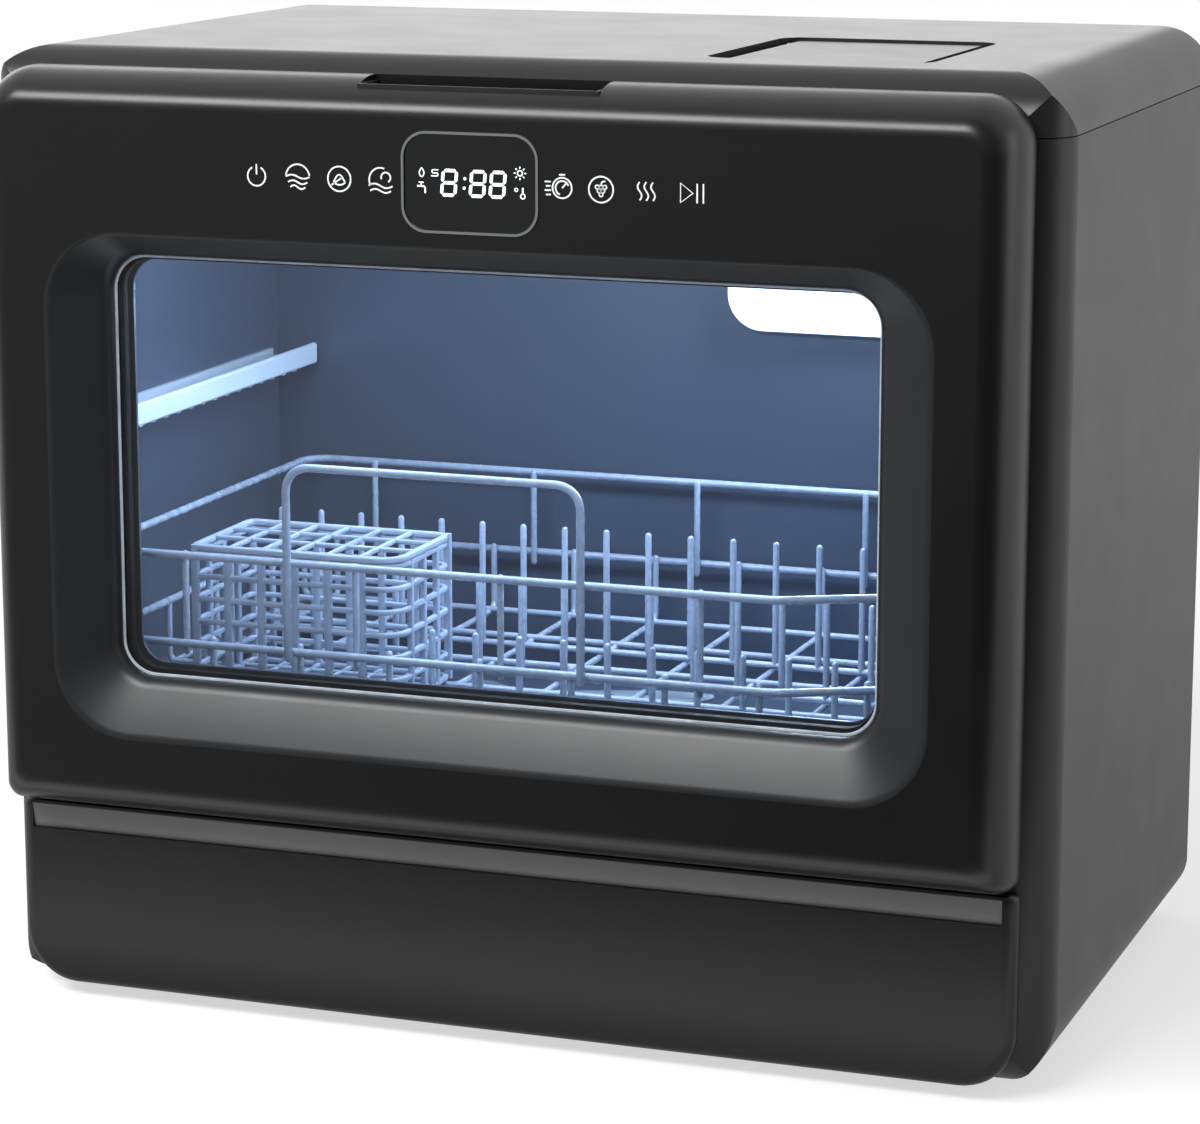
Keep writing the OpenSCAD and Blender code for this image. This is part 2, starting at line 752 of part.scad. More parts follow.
module heater() {
    color("#c0a24a") difference() {
        union() {
            rod_x(-34, 20, well_y, pipe_z, heat_r);
            rod_x(-40, -34, well_y + 0, pipe_z, heat_r - 1.5);
            for (x = [-28, 10]) box(x, x + 6, well_y + heat_r - 2, well_y + heat_r + 8, pipe_z - 0.5, pipe_z + 0.5);
        }
        rod_x(-41, 21, well_y, pipe_z, pipe_r);
    }
}

module drain_pump() {
    y0 = well_y + well_r + 8;
    color("#5d636a") union() {
        rod_y(well_x, y0, y0 + 14, pump_z + 6, 22);
        rod_y(well_x, y0 + 14, y0 + 48, pump_z, 19);
        rod_x(well_x + 8, spout_x + 6, y0 + 7, port_z, 7);
        rod_y(spout_x, y0 + 7, y_inner - port_deep - 8, port_z, 6.5);
    }
}

inlet_x = half_w - 42;
spout_x = half_w - 80;

module port_recess() {
    y0 = y_inner - port_deep;
    color("#1b1b1d") difference() {
        box(port_x0 - 2, port_x1 + 2, y0 - 2, y_inner - 0.1, port_z0 - 2, port_z1 + 2);
        box(port_x0, port_x1, y0, y_rear, port_z0, port_z1);
        rod_y(inlet_x, y0 - 3, y0 + 1, port_z, inlet_r + port_collar + 0.1);
        rod_y(spout_x, y0 - 3, y0 + 1, port_z, spout_r + port_collar + 0.1);
    }
}

module inlet_valve() {
    y0 = y_inner - port_deep - 2;
    root = y0 + 3;
    thread_r = inlet_r - 0.6;
    color("#d8d8d4") difference() {
        union() {
            rod_y(inlet_x, y0, root, port_z, inlet_r + port_collar);
            rod_y(inlet_x, root - eps, root + 11, port_z, inlet_r);
            rod_y(inlet_x, root + 11 - eps, y_inner - 4, port_z, thread_r);
            box(inlet_x - 16, inlet_x + 16, y0 - 26, y0, port_z - 16, port_z + 16);
            rod_z(inlet_x, y0 - 13, port_z + 16, tank_z0, 6);
        }
        rod_y(inlet_x, y0 - 10, y_rear, port_z, inlet_r - 3);
        // thread, as plain grooves
        for (i = [0:3]) translate([0, y_inner - 5.5 - 1.9 * i, 0]) rotate([-90, 0, 0]) translate([inlet_x, -port_z, 0])
            rotate_extrude() polygon([[thread_r - 0.9, 0], [thread_r + 0.3, -0.9], [thread_r + 0.3, 0.9]]);
    }
}

module drain_spout() {
    y0 = y_inner - port_deep - 2;
    root = y0 + 3;
    color("#3a3c40") difference() {
        union() {
            rod_y(spout_x, y0, root, port_z, spout_r + port_collar);
            rod_y(spout_x, root - eps, y_inner - 3, port_z, spout_r);
            rod_y(spout_x, y0 - 6, y0, port_z, spout_r + 4);
        }
        rod_y(spout_x, y0 - 7, y_rear, port_z, spout_r - 2);
    }
}

module water_tank() {
    y0 = y_mouth + 13;
    y1 = y_inner - 8;
    w = 2;
    color("#b8c4cc") difference() {
        union() {
            along_y(y0, y1) even2d(tank_x0, tank_x1, tank_z0, tank_z1, 10);
            rod_z(neck_x, neck_y, tank_z1 - 3, tank_z1 + 8, neck_r);
        }
        along_y(y0 + w, y1 - w) even2d(tank_x0 + w, tank_x1 - w, tank_z0 + w, tank_z1 - w, 8);
        rod_z(neck_x, neck_y, tank_z1 - 5, tank_z1 + 9, neck_r - w);
    }
}

module fill_funnel() {
    top = total_h - 7 - cover_t;
    z0 = tank_z1 + 8;
    x0 = recess_x - 28;
    color("#8e979f") difference() {
        union() {
            along_y(neck_y - 27, neck_y + 27)
                polygon([[x0, top], [x0, roof_z + 4], [neck_x - 10, z0 + 2], [neck_x + neck_r, z0 + 2],
                    [neck_x + neck_r, z0 + 8], [recess_x + 28, top]]);
            rod_z(neck_x, neck_y, z0, z0 + 4, neck_r);
            rod_z(neck_x, neck_y, z0 - 10, z0 + 4, neck_r - 2.3);
        }
        along_y(neck_y - 25, neck_y + 25)
            polygon([[x0 + 2, top + 1], [x0 + 2, roof_z + 6], [neck_x - 10, z0 + 4], [neck_x + neck_r - 2, z0 + 4],
                [neck_x + neck_r - 2, z0 + 7], [recess_x + 26, top + 1]]);
        rod_z(neck_x, neck_y, z0 - 11, z0 + 5, neck_r - 4);
    }
}

module fill_lid() {
    y0 = -recess_y - recess_d / 2 + lid_end;
    z0 = lid_z - lid_t / 2;
    z1 = lid_z + lid_t / 2;
    color("#313134") difference() {
        union() {
            along_z(z0, z1) difference() {
                even2d(lid_x0, lid_x1, y0, lid_y + 8, 8);
                translate([lid_x0 - 1, lid_y]) square([lid_x1 - lid_x0 + 2, 12]);
            }
            rod_x(lid_x0, lid_x1, lid_y, lid_z, lid_t / 2);
            difference() {
                rod_z(recess_x, -recess_y, z0 - 2, z0 + eps, 22);
                rod_z(recess_x, -recess_y, z0 - 3, z0, 20);
            }
        }
        rod_x(lid_x0 - 1, lid_x1 + 1, lid_y, lid_z, 0.8 + run_gap);
    }
}

module lid_pin() {
    color("#9b9ea2") {
        rod_x(lid_x0 - lid_side - 1.5, lid_x1 + lid_side + 1.5, lid_y, lid_z, 0.8);
        for (x = [recess_x - recess_w / 2 - 1.5, recess_x + recess_w / 2 - 2])
            rod_x(x, x + 3.5, lid_y, lid_z, 1.2 + run_gap);
    }
}

// ---- Air and electrics ----
module fan_housing() {
    z0 = roof_z;
    z1 = total_h - cover_t - 3;
    s = fan_r + 5;
    color("#303236") difference() {
        union() {
            box(fan_x - s, fan_x + s, fan_y - s, fan_y + s, z0, z1);
            box(fan_x + s - eps, fan_x + 80, fan_y - 18, fan_y + 18, z0, z1 - 4);
        }
        rod_z(fan_x, fan_y, z0 + 3, z1 + 1, fan_r + 1.5);
        box(fan_x, fan_x + 78, fan_y - 16, fan_y + 16, z0 + 3, z1 - 6);
        rod_z(fan_x + 60, fan_y, z0 - 1, z0 + 4, 14);
        rod_z(fan_x, fan_y, z0 - 1, z0 + 4, 3);
    }
    color("#303236") rod_z(fan_x, fan_y, z0, z0 + 12, 3);
}

module drying_fan() {
    z0 = roof_z + 6;
    h = 14;
    color("#4b5057") translate([fan_x, fan_y, 0]) difference() {
        union() {
            rod_z(0, 0, z0, z0 + h, 13);
            for (a = [0:40:320]) rotate(a) translate([12, 0, z0 + 2]) rotate([28, 0, 0])
                translate([0, -0.8, 0]) cube([fan_r - 13, 1.6, h - 4]);
        }
        rod_z(0, 0, z0 - 1, roof_z + 12.3, 3 + run_gap);
    }
}

board_w = 110;
board_y = y_mouth + 20.9;
board_d = 76;
board_rise = 8;

module power_board() {
    x0 = -half_w + 34;
    z0 = z_deck + board_rise;
    color("#2c6b45") {
        box(x0, x0 + board_w, board_y, board_y + board_d, z0, z0 + 1.6);
        for (x = [x0 + 26, x0 + board_w - 8], y = [board_y + 6, board_y + board_d - 6]) rod_z(x, y, z_deck, z0, 3);
    }
    color("#2c6b45") {
        box(x0 + 12, x0 + 44, -88, -52, z0 + 1.6, z0 + 26);
        box(x0 + 52, x0 + 70, -88, -64, z0 + 1.6, z0 + 16);
        box(x0 + 76, x0 + 94, -88, -64, z0 + 1.6, z0 + 16);
        for (x = [x0 + 58, x0 + 76, x0 + 92]) rod_z(x, -40, z0 + 1.6, z0 + 24, 7);
    }
}

module cable_gland() {
    color("#101011") difference() {
        union() {
            rod_y(gland_x, y_inner - 2, y_rear - 0.1, gland_z, 7 - 0.05);
            rod_y(gland_x, y_inner - 6, y_inner, gland_z, 10);
            rod_y(gland_x, y_inner - 14, y_inner - 6, gland_z, 6);
        }
        rod_y(gland_x, y_inner - 15, y_rear + 1, gland_z, 3.5);
    }
}

latch_x = 82;
latch_z = tub_z1 + 5;
roller_r = 3.5;
roller_in = 4;
roller_up = 1 + roller_r + seal_gap;

module latch_switch() {
    color("#e4e2dc") rod_x(latch_x - 10, latch_x + 10, y_mouth + roller_in, latch_z + roller_up, 1.2);
    color("#e4e2dc") difference() {
        along_x(latch_x - 14, latch_x + 14) polygon([[y_mouth, roof_z], [y_mouth + 24, roof_z],
            [y_mouth + 24, roof_z + 18], [y_mouth + 7, roof_z + 18], [y_mouth, roof_z + 10.5]]);
        box(latch_x - 7, latch_x + 7, y_mouth - 1, y_mouth + 14, latch_z - 3, latch_z + 10);
        rod_x(latch_x - 10, latch_x + 10, y_mouth + roller_in, latch_z + roller_up, 1.2);
    }
}

// The roller that holds the door's tongue, on its own fixed pin
module latch_roller() {
    color("#dcdcd6") difference() {
        rod_x(latch_x - 5, latch_x + 5, y_mouth + roller_in, latch_z + roller_up, roller_r);
        rod_x(latch_x - 6, latch_x + 6, y_mouth + roller_in, latch_z + roller_up, 1.2 + run_gap);
    }
}

// ---- Hinges ----
module hinge_brackets() {
    k = knuckle_r;
    roof = tub_floor - tub_t - seal_gap;
    color("#7f848a") for (s = [-1, 1]) difference() {
        union() {
            along_x(s * arm_x - arm_w / 2, s * arm_x + arm_w / 2) {
                translate([hinge_y, hinge_z]) circle(k);
                translate([hinge_y, hinge_z - k]) square([y_mouth - hinge_y, 2 * k]);
                translate([y_mouth - eps, frame_foot + 4]) square([30, roof - frame_foot - 4]);
            }
            box(s * arm_x - arm_w / 2, s * arm_x + arm_w / 2, y_mouth + 24, y_mouth + 30, z_deck, frame_foot + 6);
        }
        rod_x(s * arm_x - arm_w, s * arm_x + arm_w, hinge_y, hinge_z, pin_r + run_gap);
    }
}

module hinge_pins() {
    color("#a9adb2") for (s = [-1, 1]) rod_x(s * arm_x - 9, s * arm_x + 9, hinge_y, hinge_z, pin_r);
}

// ---- Door ----
module door_form() {
    e = door_edge_r;
    intersection() {
        along_y(y_face, y_door)
            plate2d(-door_x, door_x, door_z, door_top, [door_foot_r, door_foot_r, door_top_r, door_top_r]);
        along_x(-door_x, door_x) plate2d(y_face, y_door, door_z, door_top, [e, 3, 2, e]);
        along_z(door_z, door_top) plate2d(-door_x, door_x, y_face, y_door, [e, e, 2, 2]);
    }
}

// Window outline, grown by g at the sides and foot and by t at the top
module window2d(g, t, r) {
    even2d(-win_x - g, win_x + g, win_z0 - g, win_z1 + t, r);
}

// Sloping surround: the outline at the door's face blends into the outline at the glass
module surround(grow, y0, y1) {
    hull() {
        along_y(y0 - eps, y0) window2d(bezel_side + grow, bezel_top + grow, bezel_r + grow);
        along_y(y1 - eps, y1) window2d(grow, grow, window_r + grow);
    }
}

module door_frame() {
    seat = door_x - door_wall - 0.8;
    y_seat = y_door - liner_t;
    lap = glass_lap + fit;
    y_stack = y_face + bezel_depth;
    color("#2a2a2c") difference() {
        union() {
            difference() {
                door_form();
                along_y(y_face + door_wall, y_seat + eps) difference() {
                    even2d(-door_x + 7, door_x - 7, door_z + rail_h + 3, door_top - 7, 12);
                    translate([-slot_w / 2 - cup_t - 2, door_top - slot_deep - cup_t - 2])
                        square([slot_w + 2 * cup_t + 4, slot_deep + 20]);
                }
                along_y(y_seat, y_door + 1) even2d(-seat, seat, door_z + rail_h, door_top - 4, 14);
            }
            surround(collar_t, y_face + 1, y_stack);
            along_y(y_face + bezel_depth - 4, y_seat)
                window2d(lap + collar_t, lap + collar_t, window_r + lap + collar_t);
        }
        surround(0, y_face - eps, y_stack - 2);
        along_y(y_stack - 2.5, y_stack + 1) window2d(0, 0, window_r);
        along_y(y_stack, y_door + 1) window2d(lap, lap, window_r + lap);
        // display and finger slot
        along_y(y_face - 1, y_face + 1)
            even2d(-display_w / 2, display_w / 2, key_z - display_h / 2, key_z + display_h / 2, display_r);
        along_y(y_face - 1, y_face + 5)
            even2d(-display_w / 2 + 2, display_w / 2 - 2, key_z - display_h / 2 + 2, key_z + display_h / 2 - 2, display_r - 2);
        box(-slot_w / 2 - cup_t, slot_w / 2 + cup_t, y_face + slot_front - cup_t, y_door + 1,
            door_top - slot_deep - cup_t, door_top + 1);
        // hinge notches and pin bores
        for (s = [-1, 1]) {
            along_x(s * arm_x - arm_w / 2 - arm_gap, s * arm_x + arm_w / 2 + arm_gap) {
                k = knuckle_r + arm_gap;
                translate([hinge_y, hinge_z]) circle(k);
                translate([hinge_y, hinge_z - k]) square([20, 2 * k]);
                translate([hinge_y - k, hinge_z - 20]) square([20 + k, 20]);
            }
            rod_x(s * arm_x - 9, s * arm_x + 9, hinge_y, hinge_z, pin_r);
        }
    }
}

module window_seal() {
    y0 = y_face + bezel_depth;
    color("#0f1012") along_y(y0, y0 + seal_t) difference() {
        window2d(glass_lap, glass_lap, pane_r);
        window2d(-1, -1, window_r - 1);
    }
}

module outer_glass() {
    color("#9fb4c8", 0.35) along_y(y_pane, y_pane + glass_t) window2d(glass_lap, glass_lap, pane_r);
}

module glass_spacer() {
    color("#1a1b1d") along_y(y_pane + glass_t, y_pane2) difference() {
        window2d(glass_lap, glass_lap, pane_r);
        window2d(-2, -2, window_r - 2);
    }
}

module inner_glass() {
    color("#9fb4c8", 0.35) along_y(y_pane2, y_pane2 + glass_t) window2d(glass_lap, glass_lap, pane_r);
}

cup_x0 = -64;
cup_x1 = -6;
cup_z0 = mouth_z0 + 4;
cup_z1 = cup_z0 + 22;

liner_hole_x = door_x - 20;

module inner_liner() {
    seat = door_x - door_wall - 0.8 - fit;
    z0 = door_z + rail_h + fit;
    color("#7d858e") difference() {
        along_y(y_door - liner_t, y_door) difference() {
            even2d(-seat, seat, z0, door_top - 4 - fit, 14);
            window2d(-3, -3, window_r - 3);
            translate([-slot_w / 2 - cup_t - 2, door_top - slot_deep - cup_t - 2])
                square([slot_w + 2 * cup_t + 4, slot_deep + 20]);
            translate([cup_x0, cup_z0]) square([cup_x1 - cup_x0, cup_z1 - cup_z0]);
        }
        for (x = [-liner_hole_x, liner_hole_x], z = [door_z + 44, door_z + 154, door_top - 34])
            rod_y(x, y_door - 2, y_door + 1, z, 1.6);
    }
}

module display_window() {
    w = display_w / 2 - 1;
    h = display_h / 2 - 1;
    color("#0b0c0e") {
        along_y(y_face + 0.2, y_face + 1) even2d(-w, w, key_z - h, key_z + h, display_r - 1);
        along_y(y_face + 1 - eps, y_face + 3) even2d(-w + 1.2, w - 1.2, key_z - h + 1.2, key_z + h - 1.2, display_r - 2.2);
    }
}

module display_ring() {
    w = display_w / 2;
    h = display_h / 2;
    color("#c9ced4") along_y(y_tip, y_face + 1) difference() {
        even2d(-w, w, key_z - h, key_z + h, display_r);
        even2d(-w + 1, w - 1, key_z - h + 1, key_z + h - 1, display_r - 1);
    }
}

strip_x = 104;
strip_up = 9;
strip_down = 11;

module control_board() {
    y0 = y_face + door_wall;
    color("#23553a") {
        box(-strip_x, strip_x, y0 + 1, y0 + 2.6, key_z - strip_down, key_z + strip_up);
        box(-display_w / 2 + 6, display_w / 2 - 6, y0 + 0.05, y0 + 1 + eps, key_z - strip_down, key_z + strip_up);
        for (x = [-87, -70, -53, -36, 36, 53, 70, 87]) rod_y(x, y0, y0 + 1 + eps, key_z, 5);
        box(-90, -60, y0 + 2.6 - eps, y0 + 5, key_z - 9, key_z + 6);
    }
}

module handle_cup() {
    x = slot_w / 2;
    y0 = y_face + slot_front;
    z0 = door_top - slot_deep;
    color("#161617") difference() {
        along_y(y0 - cup_t, y_door - 0.05) plate2d(-x - cup_t, x + cup_t, z0 - cup_t, door_top - 2.3, [0, 0, 0, 0]);
        along_y(y0, y_door + 1) plate2d(-x, x, z0, door_top + 1, [3, 3, 0, 0]);
    }
}

module detergent_cup() {
    y0 = y_pane + glass_t + 1;
    color("#aab2ba") difference() {
        box(cup_x0, cup_x1, y0, y_door, cup_z0, cup_z1);
        box(cup_x0 + 2, cup_x1 - 2, y0 + 2, y_door + 1, cup_z0 + 2, cup_z1 - 2);
    }
    // guides that hold the lid's edges
    color("#aab2ba") for (i = [0, 1]) {
        z = i == 0 ? cup_z0 - 3 : cup_z1;
        box(cup_x0 - 2, cup_x1 + 56, y_door, y_door + 1.4 + eps, z, z + 3);
        box(cup_x0 - 2, cup_x1 + 56, y_door + 1.4, y_door + 2.2, z - 1.2 * i, z + 4.2 - 1.2 * i);
    }
}

module detergent_lid() {
    color("#c3cad1") {
        box(cup_x0, cup_x1, y_door + 0.1, y_door + 1.3, cup_z0 + 0.1, cup_z1 - 0.1);
        box(cup_x0 + 6, cup_x0 + 10, y_door + 1.3 - eps, y_door + 2.2, cup_z0 + 3, cup_z1 - 3);
    }
}

module latch_tongue() {
    color("#a2a6ab") difference() {
        union() {
            box(latch_x - 5, latch_x + 5, y_door, y_mouth + 7, latch_z - 1, latch_z + 1);
            box(latch_x - 8, latch_x + 8, y_door, y_door + 1.5, latch_z - 2.5, latch_z + 2.5);
        }
        box(latch_x - 2.5, latch_x + 2.5, y_mouth - 1, y_mouth + 2, latch_z - 2, latch_z + 2);
    }
}

// ---- Dish basket ----
// Closed rim: straight at the front, cut back at the right, rounded at the other corners
// thin slit across a wire that runs at an angle, seen from above
module slit(p, a, r) {
    translate(p) rotate(a) cube([weld, 4 * r, 4 * r], center = true);
}

// rim ring, slit at the ends of its bends
module rim(z, r) {
    c = corner_r;
    x0 = bask_x0;
    x1 = bask_x1;
    y0 = bask_y0;
    y1 = bask_y1;
    slope = atan2(bend_y, x1 - bend_x);
    difference() {
        union() {
            wire([x0 + c, y0, z], [bend_x, y0, z], r);
            wire([bend_x, y0, z], [x1, y0 + bend_y, z], r);
            wire([x1, y0 + bend_y, z], [x1, y1 - c, z], r);
            wire([x1 - c, y1, z], [x0 + c, y1, z], r);
            wire([x0, y1 - c, z], [x0, y0 + c, z], r);
            bend_flat([x0 + c, y0 + c, z], c, r, 180, 90);
            bend_flat([x0 + c, y1 - c, z], c, r, 90, 90);
            bend_flat([x1 - c, y1 - c, z], c, r, 0, 90);
        }
        for (q = [[x0 + c, y0], [x1 - c, y1], [x0 + c, y1]]) slit([q[0], q[1], z], 0, r);
        for (q = [[x1, y1 - c], [x0, y1 - c], [x0, y0 + c]]) slit([q[0], q[1], z], 90, r);
        slit([bend_x, y0, z], slope / 2, r);
        slit([x1, y0 + bend_y, z], 45 + slope / 2, r);
    }
}

front_posts = [41, 116, 178, 261];
rib_inset = 14;
rib_step = (bask_x1 - bask_x0 - 2 * rib_inset) / 8;

module basket_rims() {
    inner = rim_r + wire_r + weld;
    loop_x = [bask_x0 + 89, bask_x0 + 214];
    loop_y = bask_y0 - 2 * rim_r - weld;
    top = rim_z + loop_h;
    c = 10;
    color("#c3cbd6") {
        rim(rim_z, rim_r);
        rim(low_z, rim_r);
        for (x = front_posts) wire([bask_x0 + x, bask_y0 + inner, low_z - 4], [bask_x0 + x, bask_y0 + inner, rim_z], wire_r);
        for (i = [0.5:2:6.5]) {
            x = bask_x0 + rib_inset + i * rib_step;
            wire([x, bask_y1 - inner, low_z - 4], [x, bask_y1 - inner, rim_z], wire_r);
        }
        // handle loop, in front of both rims
        for (x = loop_x) wire([x, loop_y, low_z - rim_r], [x, loop_y, top - c - weld], rim_r);
        wire([loop_x[0] + c + weld, loop_y, top], [loop_x[1] - c - weld, loop_y, top], rim_r);
        for (i = [0, 1]) translate([i == 0 ? loop_x[0] + c : loop_x[1] - c, loop_y, top - c]) rotate([90, 0, 0])
            rotate(i == 0 ? 90 : 0) rotate_extrude(angle = 90) translate([c, 0]) rotate(22.5)
            circle(r = rim_r / cos(22.5), $fn = 8);
    }
}

module basket_floor() {
    r = wire_r;
    y1 = bask_y1 - rim_r - r - weld;
    lay_y1 = y1 - r - weld;
    cross_y = [for (i = [0:4]) foot_y0 + 4 + i * (y1 - foot_y0 - 10) / 4];
    color("#c3cbd6") {
        for (i = [0:8]) {
            x = bask_x0 + rib_inset + i * rib_step;
            bent = x > bend_x ? bend_y * (x - bend_x) / (bask_x1 - bend_x) + 0.5 : 0;
            front = bask_y0 + rim_r + r + weld + bent;
            // hanger that slopes in under the lower rim
            wire([x, front, low_z + rim_r], [x, front, basket_z + 11.6], r);
            wire([x, front - 0.2, basket_z + 12.2], [x, foot_y0 + bent - 1.6, basket_z + 1.2], r);
            // rib along the floor, and the riser behind it
            wire([x, foot_y0 + bent - 0.4, basket_z], [x, lay_y1, basket_z], r);
            wire([x, y1, basket_z - r], [x, y1, low_z + rim_r], r);
        }
        for (y = cross_y) wire([bask_x0, y, basket_z + r], [bask_x1, y, basket_z + r], r);
        for (x = [bask_x0, bask_x1]) {
            wire([x, foot_y0 + 2, basket_z], [x, y1 - 4, basket_z], r);
            for (y = cross_y) wire([x, y, basket_z + 2 * r + weld], [x, y, low_z - rim_r - weld], r);
        }
    }
}

row_step = 52;

module plate_tines() {
    z0 = basket_z + 2 * wire_r;
    color("#c3cbd6") for (k = [0, 1, 2]) {
        y = foot_y0 + 20 + k * row_step;
        // the front row starts beside the cutlery basket
        x0 = bask_x0 + 20 + (k == 0 ? 6 : 0) * tine_step;
        n = floor((bask_x1 - 10 - x0) / tine_step);
        wire([x0 - 4, y, z0], [x0 + n * tine_step + 4, y, z0], wire_r);
        for (i = [0:n])
            wire([x0 + i * tine_step, y, z0 + wire_r + weld], [x0 + i * tine_step, y, z0 + tine_h + 12 * k], wire_r);
    }
}

module basket_glides() {
    color("#e8ebee") for (x = [bask_x0, bask_x1], y = [foot_y0 + 8, (foot_y0 + bask_y1) / 2 - 14, bask_y1 - 40])
        along_y(y, y + 24) even2d(x - 3, x + 3, basket_z - wire_r - glide_t, basket_z - wire_r, 1.2);
}

// ---- Cutlery basket ----
module slat_wall(w, h, cols) {
    rows = 6;
    post = 3.3;
    slat = 2.4;
    open_w = (w - post * (cols + 1)) / cols;
    open_h = (h - 4 - slat * (rows + 1)) / rows;
    difference() {
        square([w, h]);
        for (i = [0:cols - 1], j = [0:rows - 1])
            translate([post + i * (open_w + post), slat + j * (open_h + slat)]) square([open_w, open_h]);
    }
}

module cutlery_basket() {
    w = cutlery_w;
    d = cutlery_d;
    t = 2;
    g = t + weld;
    h = cutlery_h - 2 * g;
    bar_x = [for (i = [0:6]) i * (w - t) / 6];
    bar_y = [for (j = [0:3]) j * (d - t) / 3];
    color("#cdd6e2") translate([cut_x0, cut_y0, cut_z0]) {
        // four walls that stand on the floor
        for (y = [0, d - t]) along_y(y, y + t) translate([0, g]) slat_wall(w, h, 6);
        for (x = [0, w - t]) along_x(x, x + t) translate([g, g]) slat_wall(d - 2 * g, h, 4);
        along_z(0, t) difference() {
            square([w, d]);
            for (i = [0:9], j = [0:4]) translate([7 + i * 8, 7 + j * 10]) square([5, 6]);
        }
        // bars of the top grid, in two layers
        for (x = bar_x) box(x, x + t, 0, d, h + g + weld, h + g + 1);
        for (y = bar_y) box(0, w, y, y + t, h + g + 1 + weld, h + g + t + weld);
    }
}

top_cover();
left_side_panel();
right_side_panel();
rear_panel();
base_pan();
feet();
lower_front_panel();
front_frame();
tub();
tub_seal();
basket_rails();
shelf_rail();
cup_shelf();
filter_plate();
filter_basket();
float_guide();
float();
sump();
spray_hub();
spray_arm();
feed_pipe();
heater();
wash_pump();
pump_impeller();
drain_pump();
port_recess();
inlet_valve();
drain_spout();
water_tank();
fill_funnel();
fill_lid();
lid_pin();
fan_housing();
drying_fan();
lamp_cover();
power_board();
cable_gland();
latch_switch();
latch_roller();
hinge_brackets();
case_screws();
door_frame();
window_seal();
outer_glass();
glass_spacer();
inner_glass();
inner_liner();
display_window();
display_ring();
control_board();
handle_cup();
detergent_cup();
detergent_lid();
latch_tongue();
hinge_pins();
basket_rims();
basket_floor();
plate_tines();
basket_glides();
cutlery_basket();
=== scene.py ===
"""Looks of a countertop dishwasher: door shell, wire basket, panes, finishes and a plain stage."""
import math

import bpy
import numpy as np
from bpy.props import FloatProperty, FloatVectorProperty, PointerProperty
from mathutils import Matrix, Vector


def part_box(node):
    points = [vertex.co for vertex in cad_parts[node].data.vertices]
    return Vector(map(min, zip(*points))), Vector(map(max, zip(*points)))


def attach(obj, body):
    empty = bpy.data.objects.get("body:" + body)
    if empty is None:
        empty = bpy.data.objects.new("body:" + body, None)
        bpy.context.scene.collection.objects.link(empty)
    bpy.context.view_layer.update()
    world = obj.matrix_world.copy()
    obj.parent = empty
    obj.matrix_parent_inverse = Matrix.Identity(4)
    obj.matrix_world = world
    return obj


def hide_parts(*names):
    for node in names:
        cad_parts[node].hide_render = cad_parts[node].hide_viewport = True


bl_info = {
    "name": "Countertop dishwasher",
    "version": (1, 0, 0),
    "blender": (4, 5, 0),
    "location": "3D View > Sidebar > Dishwasher",
    "description": "Builds the visible surfaces of a countertop dishwasher round its packed solids",
    "category": "Object",
}

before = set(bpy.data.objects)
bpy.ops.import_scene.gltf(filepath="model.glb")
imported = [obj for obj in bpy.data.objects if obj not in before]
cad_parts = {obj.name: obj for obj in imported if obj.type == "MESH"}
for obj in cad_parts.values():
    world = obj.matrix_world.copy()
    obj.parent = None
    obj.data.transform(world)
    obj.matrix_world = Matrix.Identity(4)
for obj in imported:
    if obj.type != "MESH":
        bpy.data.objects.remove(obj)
MM = 0.001

# Planes of the door and the tub, in metres, as the solids have them
HALF_DOOR = 0.210
DOOR_Z0, DOOR_Z1 = 0.086, 0.384
Y_FACE, Y_DOOR, Y_LINER = -0.1494, -0.1224, -0.1239
WIN_X, WIN_Z0, WIN_Z1 = 0.1565, 0.1426, 0.3117
Y_LIP = -0.1344
KEY_Z = 0.3465
BASKET = {"x0": -0.185, "x1": 0.153, "y0": -0.1054, "y1": 0.114, "rim": 0.186, "low": 0.1495, "floor": 0.122}
CUTLERY = {"x0": -0.149, "x1": -0.057, "y0": -0.0874, "y1": -0.0294, "z0": 0.1248, "z1": 0.1868}


# ---- Sizes and colours that a user may change ----
def length(name, text, value, low, high):
    return FloatProperty(name=name, description=text, default=value, min=low, max=high, subtype="DISTANCE",
                         unit="LENGTH",
                         precision=4)


def colour(name, text, code):
    return FloatVectorProperty(name=name, description=text, default=hue(code), size=3, min=0.0, max=1.0,
                               subtype="COLOR")


def watts(name, text, value, high):
    return FloatProperty(name=name, description=text + ", in watts", default=value, min=0.0, max=high)


def hue(code):
    """Linear red, green and blue of a six-figure sRGB code."""
    s = np.array([int(code[i:i + 2], 16) for i in (0, 2, 4)]) / 255.0
    return tuple(float(c) for c in np.where(s <= 0.04045, s / 12.92, ((s + 0.055) / 1.055) ** 2.4))


class DoorSizes(bpy.types.PropertyGroup):
    edge: length("Front edge", "How far the roll round the door's face reaches inwards", 0.014, 0.008, 0.015)
    roll: length("Roll depth", "How far the roll round the door's face reaches back", 0.0235, 0.014, 0.025)
    corner_top: length("Top corner", "Corner radius at the top of the door's face", 0.009, 0.004, 0.015)
    corner_foot: length("Foot corner", "Corner radius at the foot of the door's face", 0.006, 0.003, 0.012)
    slope: length("Slope depth", "Depth at which the window's sloping surround meets its inner roll", 0.0085,
                  0.005, 0.012)
    mark_line: length("Line of the marks", "Width of the printed lines over the touch keys", 0.00062, 0.0003,
                      0.001)


class WireSizes(bpy.types.PropertyGroup):
    rim: length("Rim wire", "Radius of the rim and handle wire", 0.0017, 0.0013, 0.0022)
    floor: length("Floor wire", "Radius of the floor and tine wire", 0.0014, 0.0011, 0.0017)
    bend: length("Bend", "Radius of the bends in the floor wires", 0.005, 0.003, 0.008)


